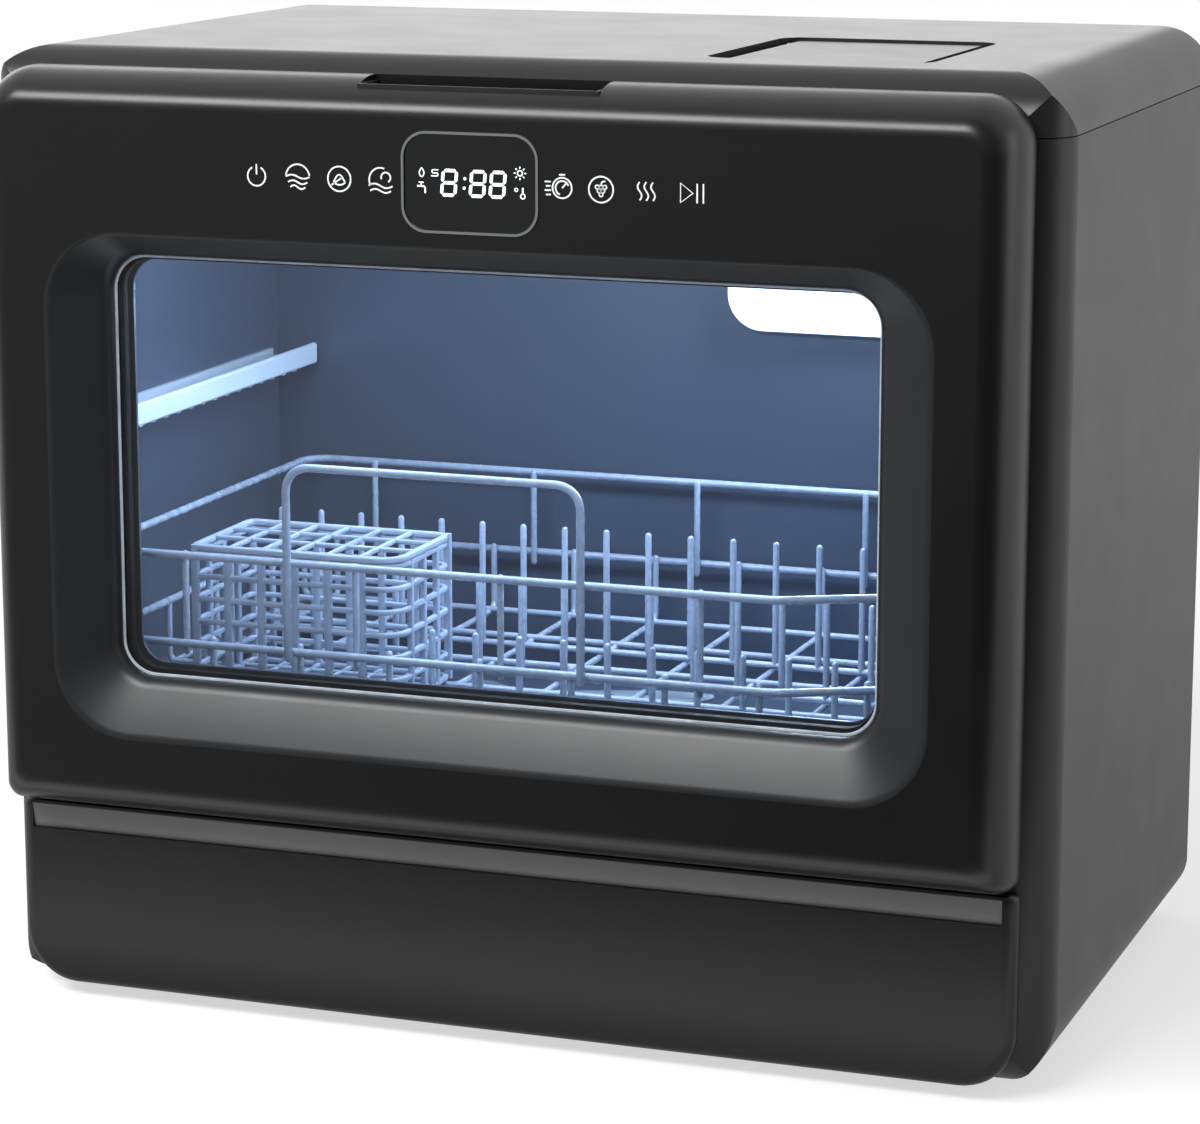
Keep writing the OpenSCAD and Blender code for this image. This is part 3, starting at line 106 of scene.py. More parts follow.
class FinishColours(bpy.types.PropertyGroup):
    casing: colour("Casing", "Side and top covers", "1c1c1d")
    door: colour("Door", "Door moulding", "101011")
    surround: colour("Surround", "Slope round the window", "1b1e21")
    panel: colour("Lower panel", "Panel under the door", "0f0f10")
    # Band: its lighter grey is painted light that stands in for the light the band catches below the door;
    # the band is of the panel's dark plastic
    band: colour("Band", "Band along the top of the lower panel", "626263")
    tub: colour("Tub", "Inside walls", "4a566a")
    wire: colour("Wire", "Coated basket wire", "98a5bb")
    cutlery: colour("Cutlery basket", "Moulded cutlery basket", "9fadc4")
    marks: colour("Marks", "Printed marks and figures", "f2f4f7")


class StageValues(bpy.types.PropertyGroup):
    key: watts("Key lamp", "Power of the long soft lamp high in front", 30.0, 100.0)
    back: watts("Back lamp", "Power of the wide lamp behind", 7.8, 100.0)
    side: watts("Side lamp", "Power of the lamp at the right", 3.0, 100.0)
    low: watts("Floor lamp", "Power of the lamp that lies in front on the floor", 0.2, 20.0)
    room: FloatProperty(name="Room light", description="Strength of the light from all round", default=0.35,
                        min=0.0, max=2.0)
    inside: watts("Tub lamp", "Power of the lamp in the tub", 1.4, 10.0)


# ---- Surfaces ----
def grid(points, wrap_u=False, wrap_v=False):
    """Four-sided faces between neighbours of a grid of points; a wrapped side joins its last row to its
    first."""
    n, m = points.shape[:2]
    i = np.arange(n if wrap_u else n - 1)[:, None]
    j = np.arange(m if wrap_v else m - 1)[None]
    i1, j1 = (i + 1) % n, (j + 1) % m
    faces = np.stack(np.broadcast_arrays(i * m + j, i * m + j1, i1 * m + j1, i1 * m + j), -1).reshape(-1, 4)
    return points.reshape(-1, 3), [faces]


def outward(verts, faces):
    """Turns a closed surface so that its faces point out: the sum of the cones from the origin must be
    positive."""
    total = 0.0
    for f in faces:
        for k in range(1, f.shape[1] - 1):
            a, b, c = verts[f[:, 0]], verts[f[:, k]], verts[f[:, k + 1]]
            total += float(np.einsum("ij,ij->", a, np.cross(b, c)))
    return (verts, faces) if total > 0 else (verts, [f[:, ::-1] for f in faces])


def capped(loops):
    """A closed surface: loops joined each to the next, with a flat face over the first and the last."""
    v, f = grid(loops, wrap_v=True)
    m = loops.shape[1]
    return outward(v, f + [np.arange(m)[None, ::-1], np.arange(m)[None] + len(v) - m])


def join(parts):
    """One list of points and faces from several, each with its faces' numbers moved on."""
    verts, faces, start = [], [], 0
    for v, fs in parts:
        verts.append(v)
        faces += [f + start for f in fs]
        start += len(v)
    return np.concatenate(verts), faces


def put(name, part, body, material, replaces=(), angle=38.0, second=None):
    """Makes the mesh object of a piece, shaded smooth up to the given angle, and hangs it on its body. A
    second material goes to the faces that a mask picks out."""
    verts, faces = part
    mesh = bpy.data.meshes.new(name)
    sizes = np.concatenate([np.full(len(f), f.shape[1]) for f in faces])
    loops = np.concatenate([f.ravel() for f in faces])
    mesh.vertices.add(len(verts))
    mesh.vertices.foreach_set("co", np.ascontiguousarray(verts, np.float32).ravel())
    mesh.loops.add(len(loops))
    mesh.loops.foreach_set("vertex_index", loops.astype(np.int32))
    mesh.polygons.add(len(sizes))
    mesh.polygons.foreach_set("loop_start", (np.cumsum(sizes) - sizes).astype(np.int32))
    mesh.update(calc_edges=True)
    mesh.validate()
    obj = bpy.data.objects.new(name, mesh)
    bpy.context.scene.collection.objects.link(obj)
    soften(obj, angle)
    mesh.materials.append(material)
    if second:
        mesh.materials.append(second[0])
        mesh.polygons.foreach_set("material_index", second[1].astype(np.int32))
    if body:
        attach(obj, body)
    if replaces:
        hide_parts(*replaces)
    return obj


def soften(obj, angle):
    mesh = obj.data
    mesh.polygons.foreach_set("use_smooth", np.ones(len(mesh.polygons), bool))
    mesh.set_sharp_from_angle(angle=math.radians(angle))


def outline(x0, x1, z0, z1, radii, arc=12):
    """Rounded rectangle of x and z: quarter circles at the four corners from the lower left one round, and
    the straight sides between them. Every outline has the same count of points, so that outlines can be
    joined."""
    t = np.linspace(0, np.pi / 2, arc)
    signs = ((-1, -1), (1, -1), (1, 1), (-1, 1))
    turns = np.radians((180, 270, 0, 90))
    corners = []
    for (sx, sz), turn, r in zip(signs, turns, radii):
        cx = (x1 - r) if sx > 0 else (x0 + r)
        cz = (z1 - r) if sz > 0 else (z0 + r)
        corners.append(np.stack([cx + r * np.cos(t + turn), cz + r * np.sin(t + turn)], -1))
    return np.concatenate(corners)


def ring(line, y):
    """An outline of x and z, stood at depth y."""
    return np.insert(line, 1, y, axis=1)


def prism(line, y0, y1):
    """A closed block: an outline carried from y0 to y1, with a flat face at each end."""
    return capped(np.stack([ring(line, y0), ring(line, y1)]))


def curve(p0, p1, p2, n=8):
    """Points of a parabola arc that leaves p0 towards p1 and reaches p2 from p1."""
    t = np.linspace(0, 1, n)[:, None]
    return (1 - t) ** 2 * np.array(p0) + 2 * t * (1 - t) * np.array(p1) + t ** 2 * np.array(p2)


def bent(points, r, n=6):
    """A line with its corners rounded: each inner corner gives way to the arc of radius r that touches both
    sides."""
    pts = np.asarray(points, float)
    out = [pts[:1]]
    for a, b, c in zip(pts[:-2], pts[1:-1], pts[2:]):
        d0, d1 = (a - b) / np.linalg.norm(a - b), (c - b) / np.linalg.norm(c - b)
        half = np.arccos(np.clip(d0 @ d1, -1, 1)) / 2
        mid = (d0 + d1) / np.linalg.norm(d0 + d1)
        centre = b + mid * r / np.sin(half)
        side = (d1 - d0) / np.linalg.norm(d1 - d0)
        t = np.linspace(-1, 1, n)[:, None] * (np.pi / 2 - half)
        out.append(centre - mid * r * np.cos(t) + side * r * np.sin(t))
    return np.concatenate(out + [pts[-1:]])


def section(w, h, r, n=4):
    """Cross-section of a bar: a rounded rectangle w wide and h high, as offsets from its middle."""
    return outline(-w / 2, w / 2, -h / 2, h / 2, (r, r, r, r), n)


def sweep(path, shape, normal, closed=False, dome=0.0):
    """A bar: its cross-section carried along a path that lies in a plane with the given normal. At each point
    the section's first axis is the normal crossed with the path's direction, and its second is the normal. An
    open end is closed by rings that shrink as a quarter ellipse of depth dome, or by a flat face where dome
    is 0."""
    path = np.asarray(path, float)
    up = np.asarray(normal, float)
    if closed:
        way = np.roll(path, -1, 0) - np.roll(path, 1, 0)
    else:
        way = np.gradient(path, axis=0)
    way /= np.linalg.norm(way, axis=1)[:, None]
    scale = np.ones(len(path))
    if dome and not closed:
        t = np.radians([80, 60, 35])
        path = np.concatenate([path[0] - np.outer(np.sin(t), way[0]) * dome, path,
                               path[-1] + np.outer(np.sin(t[::-1]), way[-1]) * dome])
        way = np.concatenate([np.repeat(way[:1], 3, 0), way, np.repeat(way[-1:], 3, 0)])
        scale = np.concatenate([np.cos(t), scale, np.cos(t[::-1])])
    side = np.cross(up, way)
    side /= np.linalg.norm(side, axis=1)[:, None]
    p = path[:, None] + scale[:, None, None] * (side[:, None] * shape[None, :, :1] + up * shape[None, :, 1:])
    return outward(*grid(p, wrap_u=True, wrap_v=True)) if closed else capped(p)


def wire(path, r, normal, closed=False, sides=12):
    """A round wire of radius r along a path, with rounded ends."""
    t = np.arange(sides) * 2 * np.pi / sides
    return sweep(path, r * np.stack([np.cos(t), np.sin(t)], -1), normal, closed, dome=r)


def carve(obj, cutters):
    """Cuts closed blocks out of a piece, and keeps the result as its mesh."""
    tool_mesh = bpy.data.meshes.new("cutters")
    v, f = join(cutters)
    tool_mesh.from_pydata(v.tolist(), [], [row for part in f for row in part.tolist()])
    tool = bpy.data.objects.new("cutters", tool_mesh)
    bpy.context.scene.collection.objects.link(tool)
    mod = obj.modifiers.new("cut", "BOOLEAN")
    mod.operation, mod.solver, mod.object = "DIFFERENCE", "EXACT", tool
    done = bpy.data.meshes.new_from_object(obj.evaluated_get(bpy.context.evaluated_depsgraph_get()))
    obj.modifiers.remove(mod)
    obj.data = done
    done.name = obj.name
    bpy.data.objects.remove(tool)
    return obj


# ---- Finishes ----
class Finish:
    """A material of procedural nodes: one Principled shader whose constants sit on its own sockets, and
    textures that read Object coordinates in metres."""

    def __init__(self, name, base, rough, metal=0.0, **fixed):
        self.mat = bpy.data.materials.new(name)
        self.mat.use_nodes = True
        self.tree = self.mat.node_tree
        self.tree.nodes.clear()
        self.base = np.array(base[:3], float)
        self.out = self.tree.nodes.new("ShaderNodeOutputMaterial")
        self.shader = self.node("ShaderNodeBsdfPrincipled",
                                {"Base Color": (*base[:3], 1.0), "Roughness": rough,
                                                             "Metallic": metal, **fixed})
        self.link(self.shader.outputs[0], self.out.inputs[0])
        self.place = self.tree.nodes.new("ShaderNodeTexCoord").outputs["Object"]
        self.mat.diffuse_color = (*base[:3], 1.0)

    def node(self, kind, values=None, **settings):
        n = self.tree.nodes.new(kind)
        for key, value in settings.items():
            setattr(n, key, value)
        for key, value in (values or {}).items():
            n.inputs[key].default_value = value
        return n

    def link(self, a, b):
        self.tree.links.new(a, b)

    def stretched(self, x, y, z):
        """Object coordinates scaled by a factor along each axis."""
        n = self.node("ShaderNodeMapping", {"Scale": (x, y, z)})
        self.link(self.place, n.inputs["Vector"])
        return n.outputs[0]

    def noise(self, size, detail=2.0, at=None, rough=0.5):
        """Noise whose lumps are about size metres across."""
        n = self.node("ShaderNodeTexNoise", {"Scale": 1.0 / size, "Detail": detail, "Roughness": rough})
        self.link(at or self.place, n.inputs["Vector"])
        return n.outputs["Fac"]

    def cells(self, size, feature="F1"):
        n = self.node("ShaderNodeTexVoronoi", {"Scale": 1.0 / size}, feature=feature)
        self.link(self.place, n.inputs["Vector"])
        return n.outputs["Distance"]

    def span(self, value, low, high, a=0.3, b=0.7):
        """Maps a to b of a texture on to low to high, and holds the ends."""
        n = self.node("ShaderNodeMapRange", {"From Min": a, "From Max": b, "To Min": low, "To Max": high})
        self.link(value, n.inputs["Value"])
        return n.outputs["Result"]

    def tint(self, value, dark, light, a=0.3, b=0.7):
        """The base colour between two shades of itself, following a texture."""
        return self.blend(self.span(value, 0.0, 1.0, a, b), self.base * dark, self.base * light)

    def blend(self, value, first, second):
        n = self.node("ShaderNodeMix", data_type="RGBA")
        n.inputs[6].default_value = (*np.clip(first, 0, 1), 1.0)
        n.inputs[7].default_value = (*np.clip(second, 0, 1), 1.0)
        self.link(value, n.inputs[0])
        return n.outputs[2]

    def paint(self, output):
        self.link(output, self.shader.inputs["Base Color"])
        return self

    def gloss(self, output):
        self.link(output, self.shader.inputs["Roughness"])
        return self

    def mixed(self, share, first, second):
        """The first shader, or the second by the given share."""
        n = self.node("ShaderNodeMixShader")
        for socket, output in zip(n.inputs, (share, first, second)):
            self.link(output, socket)
        return n.outputs[0]

    def relief(self, height, depth, strength=1.0):
        """Bump of the given depth in metres."""
        n = self.node("ShaderNodeBump", {"Strength": strength, "Distance": depth})
        self.link(height, n.inputs["Height"])
        self.link(n.outputs[0], self.shader.inputs["Normal"])
        return self


def plain(name, base, rough, shade, gloss, relief, metal=0.0, **fixed):
    """A finish of three noises: size, detail and both ends of the shade and of the gloss, and size, depth and
    strength of the relief."""
    f = Finish(name, base, rough, metal, **fixed)
    f.paint(f.tint(f.noise(*shade[:2]), *shade[2:]))
    f.gloss(f.span(f.noise(*gloss[:2]), *gloss[2:]))
    f.relief(f.noise(relief[0], 2.0), *relief[1:])
    return f.mat


def moulded(name, base, rough, grain=0.0009, depth=0.00003, patch=0.06, spread=0.015, mottle=0.03, **fixed):
    """Moulded plastic: fine spark-eroded grain, slow changes of gloss, faint flow shades."""
    return plain(name, base, rough, (patch, 3.0, 1 - mottle, 1 + mottle),
                 (patch * 0.4, 4.0, rough - spread, rough + spread), (grain, depth, 0.6), **fixed)


def brushed(name, base, rough, along=(1, 30, 30), grain=0.004, depth=0.00003, mottle=0.08, metal=1.0):
    """Brushed metal: noise drawn out along one axis gives fine lines in gloss, colour and relief."""
    f = Finish(name, base, rough, metal=metal)
    lines = f.noise(grain, 5.0, f.stretched(*along), 0.65)
    f.paint(f.tint(lines, 1 - mottle, 1 + mottle))
    f.gloss(f.span(lines, rough - 0.08, rough + 0.1))
    f.relief(lines, depth, 0.5)
    return f.mat


def cast(name, base, rough, grain=0.003, depth=0.0001, metal=1.0):
    """Cast or turned metal: pitted by cells, stained by slow noise."""
    f = Finish(name, base, rough, metal=metal)
    f.paint(f.tint(f.noise(grain * 6, 4.0), 0.8, 1.15))
    f.gloss(f.span(f.noise(grain * 3, 3.0), rough - 0.08, rough + 0.12))
    f.relief(f.cells(grain), depth, 0.5)
    return f.mat


def rubber(name, base, rough, grain=0.0016, depth=0.00005):
    """Rubber: soft specks and a powdery bloom in slow patches."""
    f = Finish(name, base, rough, **{"Specular IOR Level": 0.35})
    f.paint(f.tint(f.noise(0.018, 5.0, rough=0.7), 0.8, 1.5))
    f.gloss(f.span(f.noise(0.01, 3.0), rough - 0.08, min(rough + 0.1, 1.0)))
    f.relief(f.cells(grain), depth, 0.5)
    return f.mat


def board(name, base):
    """Printed circuit board: fine tracks as thin cell borders under a glossy lacquer."""
    f = Finish(name, base, 0.3)
    tracks = f.cells(0.004, "DISTANCE_TO_EDGE")
    f.paint(f.blend(f.span(tracks, 0.0, 1.0, 0.04, 0.09), f.base * 2.4, f.base))
    f.gloss(f.span(f.noise(0.01, 2.0), 0.22, 0.4))
    f.relief(tracks, 0.00005, 0.4)
    return f.mat


def pane(name, tint, streak=0.02):
    """Window glass: what lies behind shows through, and a Fresnel share of the light is mirrored, faintly
    uneven."""
    f = Finish(name, tint, 0.03)
    clear = f.node("ShaderNodeBsdfTransparent", {"Color": (*tint[:3], 1.0)})
    gloss = f.node("ShaderNodeBsdfAnisotropic", {"Color": (1, 1, 1, 1)})
    f.link(f.span(f.noise(0.05, 3.0), 0.01, 0.01 + streak), gloss.inputs["Roughness"])
    share = f.node("ShaderNodeFresnel", {"IOR": 1.38})
    f.tree.nodes.remove(f.shader)
    f.link(f.mixed(share.outputs[0], clear.outputs[0], gloss.outputs[0]), f.out.inputs[0])
    return f.mat


def glowing(name, base, strength, grain=0.004):
    """A lit diffuser: translucent plastic with a prismatic grain, brighter over the lamps behind it."""
    f = Finish(name, base, 0.35, **{"Emission Strength": strength})
    spots = f.noise(0.03, 2.0)
    f.link(f.blend(f.span(spots, 0.0, 1.0), f.base * 0.82, np.minimum(f.base * 1.08, 1.0)),
           f.shader.inputs["Emission Color"])
    f.paint(f.tint(spots, 0.9, 1.05))
    f.relief(f.cells(grain), 0.0002, 0.5)
    return f.mat


def dress(node, material):
    """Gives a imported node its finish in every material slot."""
    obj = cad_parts[node]
    if not obj.material_slots:
        obj.data.materials.append(material)
    for s in obj.material_slots:
        s.material = material


class Part(bpy.types.Operator):
    """A step of the dishwasher"""
    bl_options = {"REGISTER", "UNDO"}

    def execute(self, context):
        self.make(context.scene)
        return {"FINISHED"}


# ---- Pieces ----
class DISHWASHER_OT_casing(Part):
    """Finishes of the top cover, side panels, base, rear and feet"""
    bl_idname = "dishwasher.casing"
    bl_label = "Casing"

    def make(self, scene):
        c = scene.dishwasher_colours
        shell = dict(grain=0.0010, depth=0.00003)
        dress("top_cover", moulded("satin_top_cover", c.casing, 0.36, patch=0.09, **shell))
        dress("left_side_panel", moulded("satin_left_panel", c.casing, 0.40, patch=0.08, **shell))
        dress("right_side_panel", moulded("satin_right_panel", c.casing, 0.40, patch=0.07, **shell))
        dress("front_frame", moulded("satin_front_frame", hue("202022"), 0.45, patch=0.05, **shell))
        dress("base_pan", moulded("ribbed_base_pan", hue("1d1d1f"), 0.6, grain=0.0014, depth=0.00008))
        f = Finish("painted_rear_panel", hue("1b1b1d"), 0.5, metal=0.35)
        f.paint(f.tint(f.noise(0.05, 5.0), 0.85, 1.25))
        f.gloss(f.span(f.noise(0.02, 4.0), 0.42, 0.6))
        f.relief(f.cells(0.0011), 0.00006, 0.6)
        dress("rear_panel", f.mat)
        dress("feet", rubber("foot_rubber", hue("141415"), 0.8))
        dress("case_screws", cast("plated_screws", hue("9a9da1"), 0.32, grain=0.0008, depth=0.00003))
        dress("fill_lid", moulded("satin_fill_lid", hue("1e1e1f"), 0.37, patch=0.05, **shell))
        dress("lid_pin", brushed("turned_lid_pin", hue("9fa3a8"), 0.25))


class DISHWASHER_OT_door(Part):
    """Door shell with rolled edges, sloping window surround, finger slot and hinge notches"""
    bl_idname = "dishwasher.door"
    bl_label = "Door shell"

    def make(self, scene):
        """The profile runs from the rear edge over the roll and the face, down the sloping surround to the
        window, and back behind it. Each row is a rounded rectangle: its sides move in by the roll's sine law,
        and on the surround by a share of its width, 22 mm at the sides and foot and 9.7 mm at the top."""
        d = scene.dishwasher_door
        e = d.edge

        def outer(inset, y):
            k = min(max(inset, 0.0) / e, 1.0)
            top = 0.019 + (d.corner_top - 0.019) * k
            foot = 0.006 + (d.corner_foot - 0.006) * k
            return ring(outline(-HALF_DOOR + inset, HALF_DOOR - inset, DOOR_Z0 + inset, DOOR_Z1 - inset,
                                (foot, foot, top, top)), y)

        def window(share, y, grow=0.0):
            g, t, r = 0.022 * share + grow, 0.0097 * share + grow, 0.014 + 0.016 * share + grow
            return ring(outline(-WIN_X - g, WIN_X + g, WIN_Z0 - g, WIN_Z1 + t, (r, r, r, r)), y)

        a = np.linspace(0, np.pi / 2, 12)
        rows = [outer(0.0012, Y_DOOR), outer(0.0002, Y_DOOR - 0.0004), outer(0.0, Y_DOOR - 0.0014),
                outer(0.0, Y_FACE + d.roll + 0.0003)]
        rows += [outer(e * (1 - math.cos(t)), Y_FACE + d.roll * (1 - math.sin(t))) for t in a]
        rows += [outer(e + 0.0006, Y_FACE)]
        rows += [window(1.24, Y_FACE)]
        y_slope = Y_FACE + d.slope
        brow = curve((1.07, Y_FACE), (1.0, Y_FACE), (0.93, Y_FACE + 0.085 * d.slope), 6)
        roll = curve((0.20, y_slope), (0.0, y_slope + 0.0022), (0.0, Y_LIP), 9)
        first = len(rows)
        rows += [window(s, y) for s, y in brow] + [window(s, y) for s, y in roll]
        last = len(rows)
        rows += [window(0, Y_LIP, 0.0032), window(0, Y_LINER, 0.0032), window(0, Y_LINER, 0.0057)]
        seat = ((0.2062, 0.101, 0.380), 0.014)
        for y in (Y_LINER, Y_DOOR):
            x, z0, z1 = seat[0]
            rows.append(ring(outline(-x, x, z0, z1, (seat[1],) * 4), y))
        band = np.repeat((np.arange(len(rows)) >= first) & (np.arange(len(rows)) < last - 1),
                         rows[0].shape[0])
        shell = outward(*grid(np.stack(rows), wrap_u=True, wrap_v=True))
        c = scene.dishwasher_colours
        fine = (0.0008, 0.00001, 0.5)
        slope = plain("satin_surround", c.surround, 0.36, (0.10, 3.0, 0.96, 1.05), (0.03, 4.0, 0.34, 0.38),
                      fine)
        face = plain("satin_door", c.door, 0.30, (0.10, 3.0, 0.94, 1.08), (0.03, 4.0, 0.285, 0.315), fine)
        obj = put("door_shell", shell, "door", face, ("door_frame",), second=(slope, band))
        slot = prism(outline(-0.0485, 0.0485, 0.3575, 0.390, (0.003,) * 4, 5), -0.1419, -0.1238)
        display = prism(outline(-0.0275, 0.0275, 0.32735, 0.36565, (0.010,) * 4, 10), -0.151, -0.1444)
        t = np.linspace(0, np.pi / 2, 8)
        k = 0.006
        arch = np.stack([-0.1339 - k * np.cos(t), 0.0925 + k * np.sin(t)], -1)
        side = np.concatenate([[(-0.1399, 0.080)], arch, [(-0.115, 0.0985), (-0.115, 0.080)]])
        notches = []
        for x in (-0.192, 0.192):
            notches.append(capped(np.stack([np.insert(side, 0, x + w, axis=1) for w in (-0.0035, 0.0035)])))
        carve(obj, [slot, display] + notches)
        soften(obj, 38.0)


class DISHWASHER_OT_lower_panel(Part):
    """Panel under the door, with a rolled edge and an overhanging band along its top"""
    bl_idname = "dishwasher.lower_panel"
    bl_label = "Lower panel"

    def make(self, scene):
        """A rounded rectangle carried forward, whose edge rolls in by a quarter circle. The groove that is
        cut along its top steps back and comes forward again in a straight slope, which is the band."""
        half, z0, z1, front, back, e = 0.2095, 0.006, 0.084, -0.1264, -0.1197, 0.005

        def row(inset, y):
            foot, top = 0.022 - inset * 0.6, 0.003
            return ring(outline(-half + inset, half - inset, z0 + inset, z1 - inset * 0.1,
                                (foot, foot, top, top)), y)

        a = np.linspace(0, np.pi / 2, 9)
        rows = [row(0.0, back)] + [row(e * (1 - math.cos(t)), front + e * (1 - math.sin(t))) for t in a]
        c = scene.dishwasher_colours
        satin = ((0.08, 3.0, 0.95, 1.06), (0.03, 4.0, 0.345, 0.375), (0.0010, 0.00002, 0.5))
        obj = put("lower_panel", capped(np.stack(rows)), "casing",
                  plain("satin_lower_panel", c.panel, 0.36, *satin), ("lower_front_panel",))
        side = np.array([(-0.1280, 0.0922), (-0.1248, 0.0722), (-0.1280, 0.0718)])
        groove = capped(np.stack([np.insert(side, 0, x, axis=1) for x in (-0.204, 0.204)]))
        carve(obj, [groove])
        # the band's faces take a lighter grey: painted light that stands in for the light they catch below
        # the door
        obj.data.materials.append(plain("band_painted_light", c.band, 0.36, *satin))
        # faces high on the panel that look down and forward are the band's, and get the painted light
        for face in obj.data.polygons:
            if face.center.z > 0.072 and face.normal.z < -0.1 and face.normal.y < -0.5:
                face.material_index = 1
        soften(obj, 38.0)


class DISHWASHER_OT_window(Part):
    """Seal, panes, spacer and inner liner of the window"""
    bl_idname = "dishwasher.window"
    bl_label = "Window"

    def make(self, scene):
        """The seal's profile is a small bead at the opening's edge that runs back to a flat strip under the
        glass."""
        prof = [(0.003, Y_LIP + 0.0001), (-0.0002, Y_LIP + 0.0001), (-0.0008, Y_LIP + 0.0002),
                (-0.0010, Y_LIP + 0.0005),
                (-0.0009, Y_LIP + 0.0009), (-0.0006, Y_LIP + 0.00098), (0.003, Y_LIP + 0.00098)]
        rows = [ring(outline(-WIN_X - g, WIN_X + g, WIN_Z0 - g, WIN_Z1 + g, (0.014 + g,) * 4), y) for g,
                y in prof]
        # painted highlight: the seal is coloured pale grey so that its bead shows as the thin light line
        # round the window; the seal itself is dark rubber
        seal = plain("seal_bead_painted_highlight", hue("a9b3bf"), 0.25, (0.01, 3.0, 0.85, 1.2),
                     (0.004, 3.0, 0.2, 0.32),
                     (0.0008, 0.00002, 0.5))
        put("window_bead", outward(*grid(np.stack(rows), wrap_u=True, wrap_v=True)), "door",
            seal,
            ("window_seal",))
        dress("outer_glass", pane("outer_pane", (0.97, 0.985, 1.0)))
        dress("inner_glass", pane("inner_pane", (0.96, 0.98, 0.995), 0.03))
        dress("glass_spacer", moulded("spacer_foam", hue("1a1b1d"), 0.7, grain=0.0012, depth=0.0001))
        dress("inner_liner", brushed("pressed_liner", hue("7d858e"), 0.34, (30, 30, 1)))


class DISHWASHER_OT_controls(Part):
    """Display, its bright ring, the lit figures, the printed marks and the board behind them"""
    bl_idname = "dishwasher.controls"
    bl_label = "Controls"

    def make(self, scene):
        c = scene.dishwasher_colours
        dress("display_window", plain("display_black", hue("08090a"), 0.12, (0.02, 2.0, 0.9, 1.2),
                                      (0.008, 3.0, 0.08, 0.18), (0.012, 0.00001, 0.4),
                                      **{"Coat Weight": 0.4, "Coat Roughness": 0.05}))
        dress("display_ring", brushed("bright_display_ring", hue("c9ced4"), 0.22, (12, 30, 12), 0.003,
                                      0.00001))
        dress("control_board", board("control_board_lacquer", hue("23553a")))
        lit = Finish("lit_figures", hue("f4f8ff"), 0.4,
                     **{"Emission Color": (*hue("f4f8ff"), 1), "Emission Strength": 0.9})
        lit.paint(lit.tint(lit.noise(0.002, 2.0), 0.92, 1.0))
        lit.relief(lit.noise(0.001, 2.0), 0.00002, 0.5)
        put("display_figures", join(self.figures()), "door", lit.mat)
        ink = Finish("printed_marks", c.marks, 0.5)
        ink.paint(ink.tint(ink.noise(0.001, 3.0), 0.9, 1.03))
        ink.relief(ink.noise(0.0005, 2.0), 0.00002, 0.5)
        put("key_marks", join(self.marks(scene.dishwasher_door.mark_line)), "door", ink.mat)

    @staticmethod
    def line(points, y, w, closed=False):
        """A flat line w wide on the plane y, 0.06 mm thick, through points of x and z in millimetres."""
        p = np.asarray(points, float) * MM
        path = np.insert(p, 1, y, axis=1)
        return sweep(path, section(w, 0.00006, 0.00001, 2), (0, 1, 0), closed)

    def figures(self):
        """Seven bars with pointed ends for each figure, leaning by a twelfth, and small signs beside them."""
        y, z = -0.14923, KEY_Z / MM
        t = np.linspace(0, 2 * np.pi, 13)[:-1]
        parts = []

        def block(points):
            parts.append(prism(points * MM, y - 0.00003, y + 0.00003))

        def draw(points, w=0.0004, closed=False):
            parts.append(self.line(points, y, w, closed))

        def circle(cx, cz, r):
            return np.stack([cx + r * np.cos(t), cz + r * np.sin(t)], -1)

        for cx in (-8.1, 3.4, 11.4):
            w, h, tip = 2.7, 4.6, 0.62
            bars = [(-w, h * 2, w, h * 2), (-w, h, w, h), (-w, 0, w, 0), (-w, 0, -w, h), (w, 0, w, h),
                    (-w, h, -w, 2 * h), (w, h, w, 2 * h)]
            for x0, z0, x1, z1 in bars:
                a, b = np.array([x0, z0], float), np.array([x1, z1], float)
                u = (b - a) / np.linalg.norm(b - a)
                v = np.array([-u[1], u[0]])
                a, b = a + u * 0.25, b - u * 0.25
                hexagon = np.array([a, a + (u + v) * tip, b + (v - u) * tip, b, b - (u + v) * tip,
                                    a + (u - v) * tip])
                hexagon[:, 0] += hexagon[:, 1] / 12 + cx - 0.6
                hexagon[:, 1] += z - h
                block(hexagon)
        for rise in (-1.8, 1.8):
            block(circle(-2.1 + rise / 12, z + rise, 0.6))
        drop = -19.4 + 1.1 * np.sin(t) * np.clip(1.25 + np.cos(t), 0, 1.1) * 0.8
        draw(np.stack([drop, z + 3.6 - 1.7 * np.cos(t)], -1), closed=True)
        draw(bent(np.array([[-15.6, z + 2.4], [-12.8, z + 2.4], [-12.8, z + 3.5], [-15.2, z + 3.5],
                            [-15.2, z + 4.7],
                            [-12.6, z + 4.7]]), 0.5, 4))
        draw(bent(np.array([[-21.2, z - 1.6], [-18.0, z - 1.6], [-18.0, z - 4.2]]), 0.9, 5), 0.0006)
        draw([[-19.6, z - 1.6], [-19.6, z - 0.4]])
        draw([[-20.6, z - 0.2], [-18.6, z - 0.2]])
        draw(circle(20.1, z + 4.6, 1.0), closed=True)
        for k in np.arange(8) * np.pi / 4:
            u = np.array([math.cos(k), math.sin(k)])
            draw([np.array([20.1, z + 4.6]) + u * 1.7, np.array([20.1, z + 4.6]) + u * 2.5])
        draw(circle(18.6, z - 1.6, 0.6), 0.00035, True)
        draw(circle(21.2, z - 4.0, 0.9), closed=True)
        draw([[21.2, z - 3.0], [21.2, z - 0.8]], 0.0006)
        return parts

    def marks(self, w):
        """Line marks of the eight touch keys, each drawn about its own middle."""
        y = Y_FACE - 0.00003
        z = KEY_Z / MM - 0.2
        t = np.linspace(0, 2 * np.pi, 33)[:-1]
        parts = []

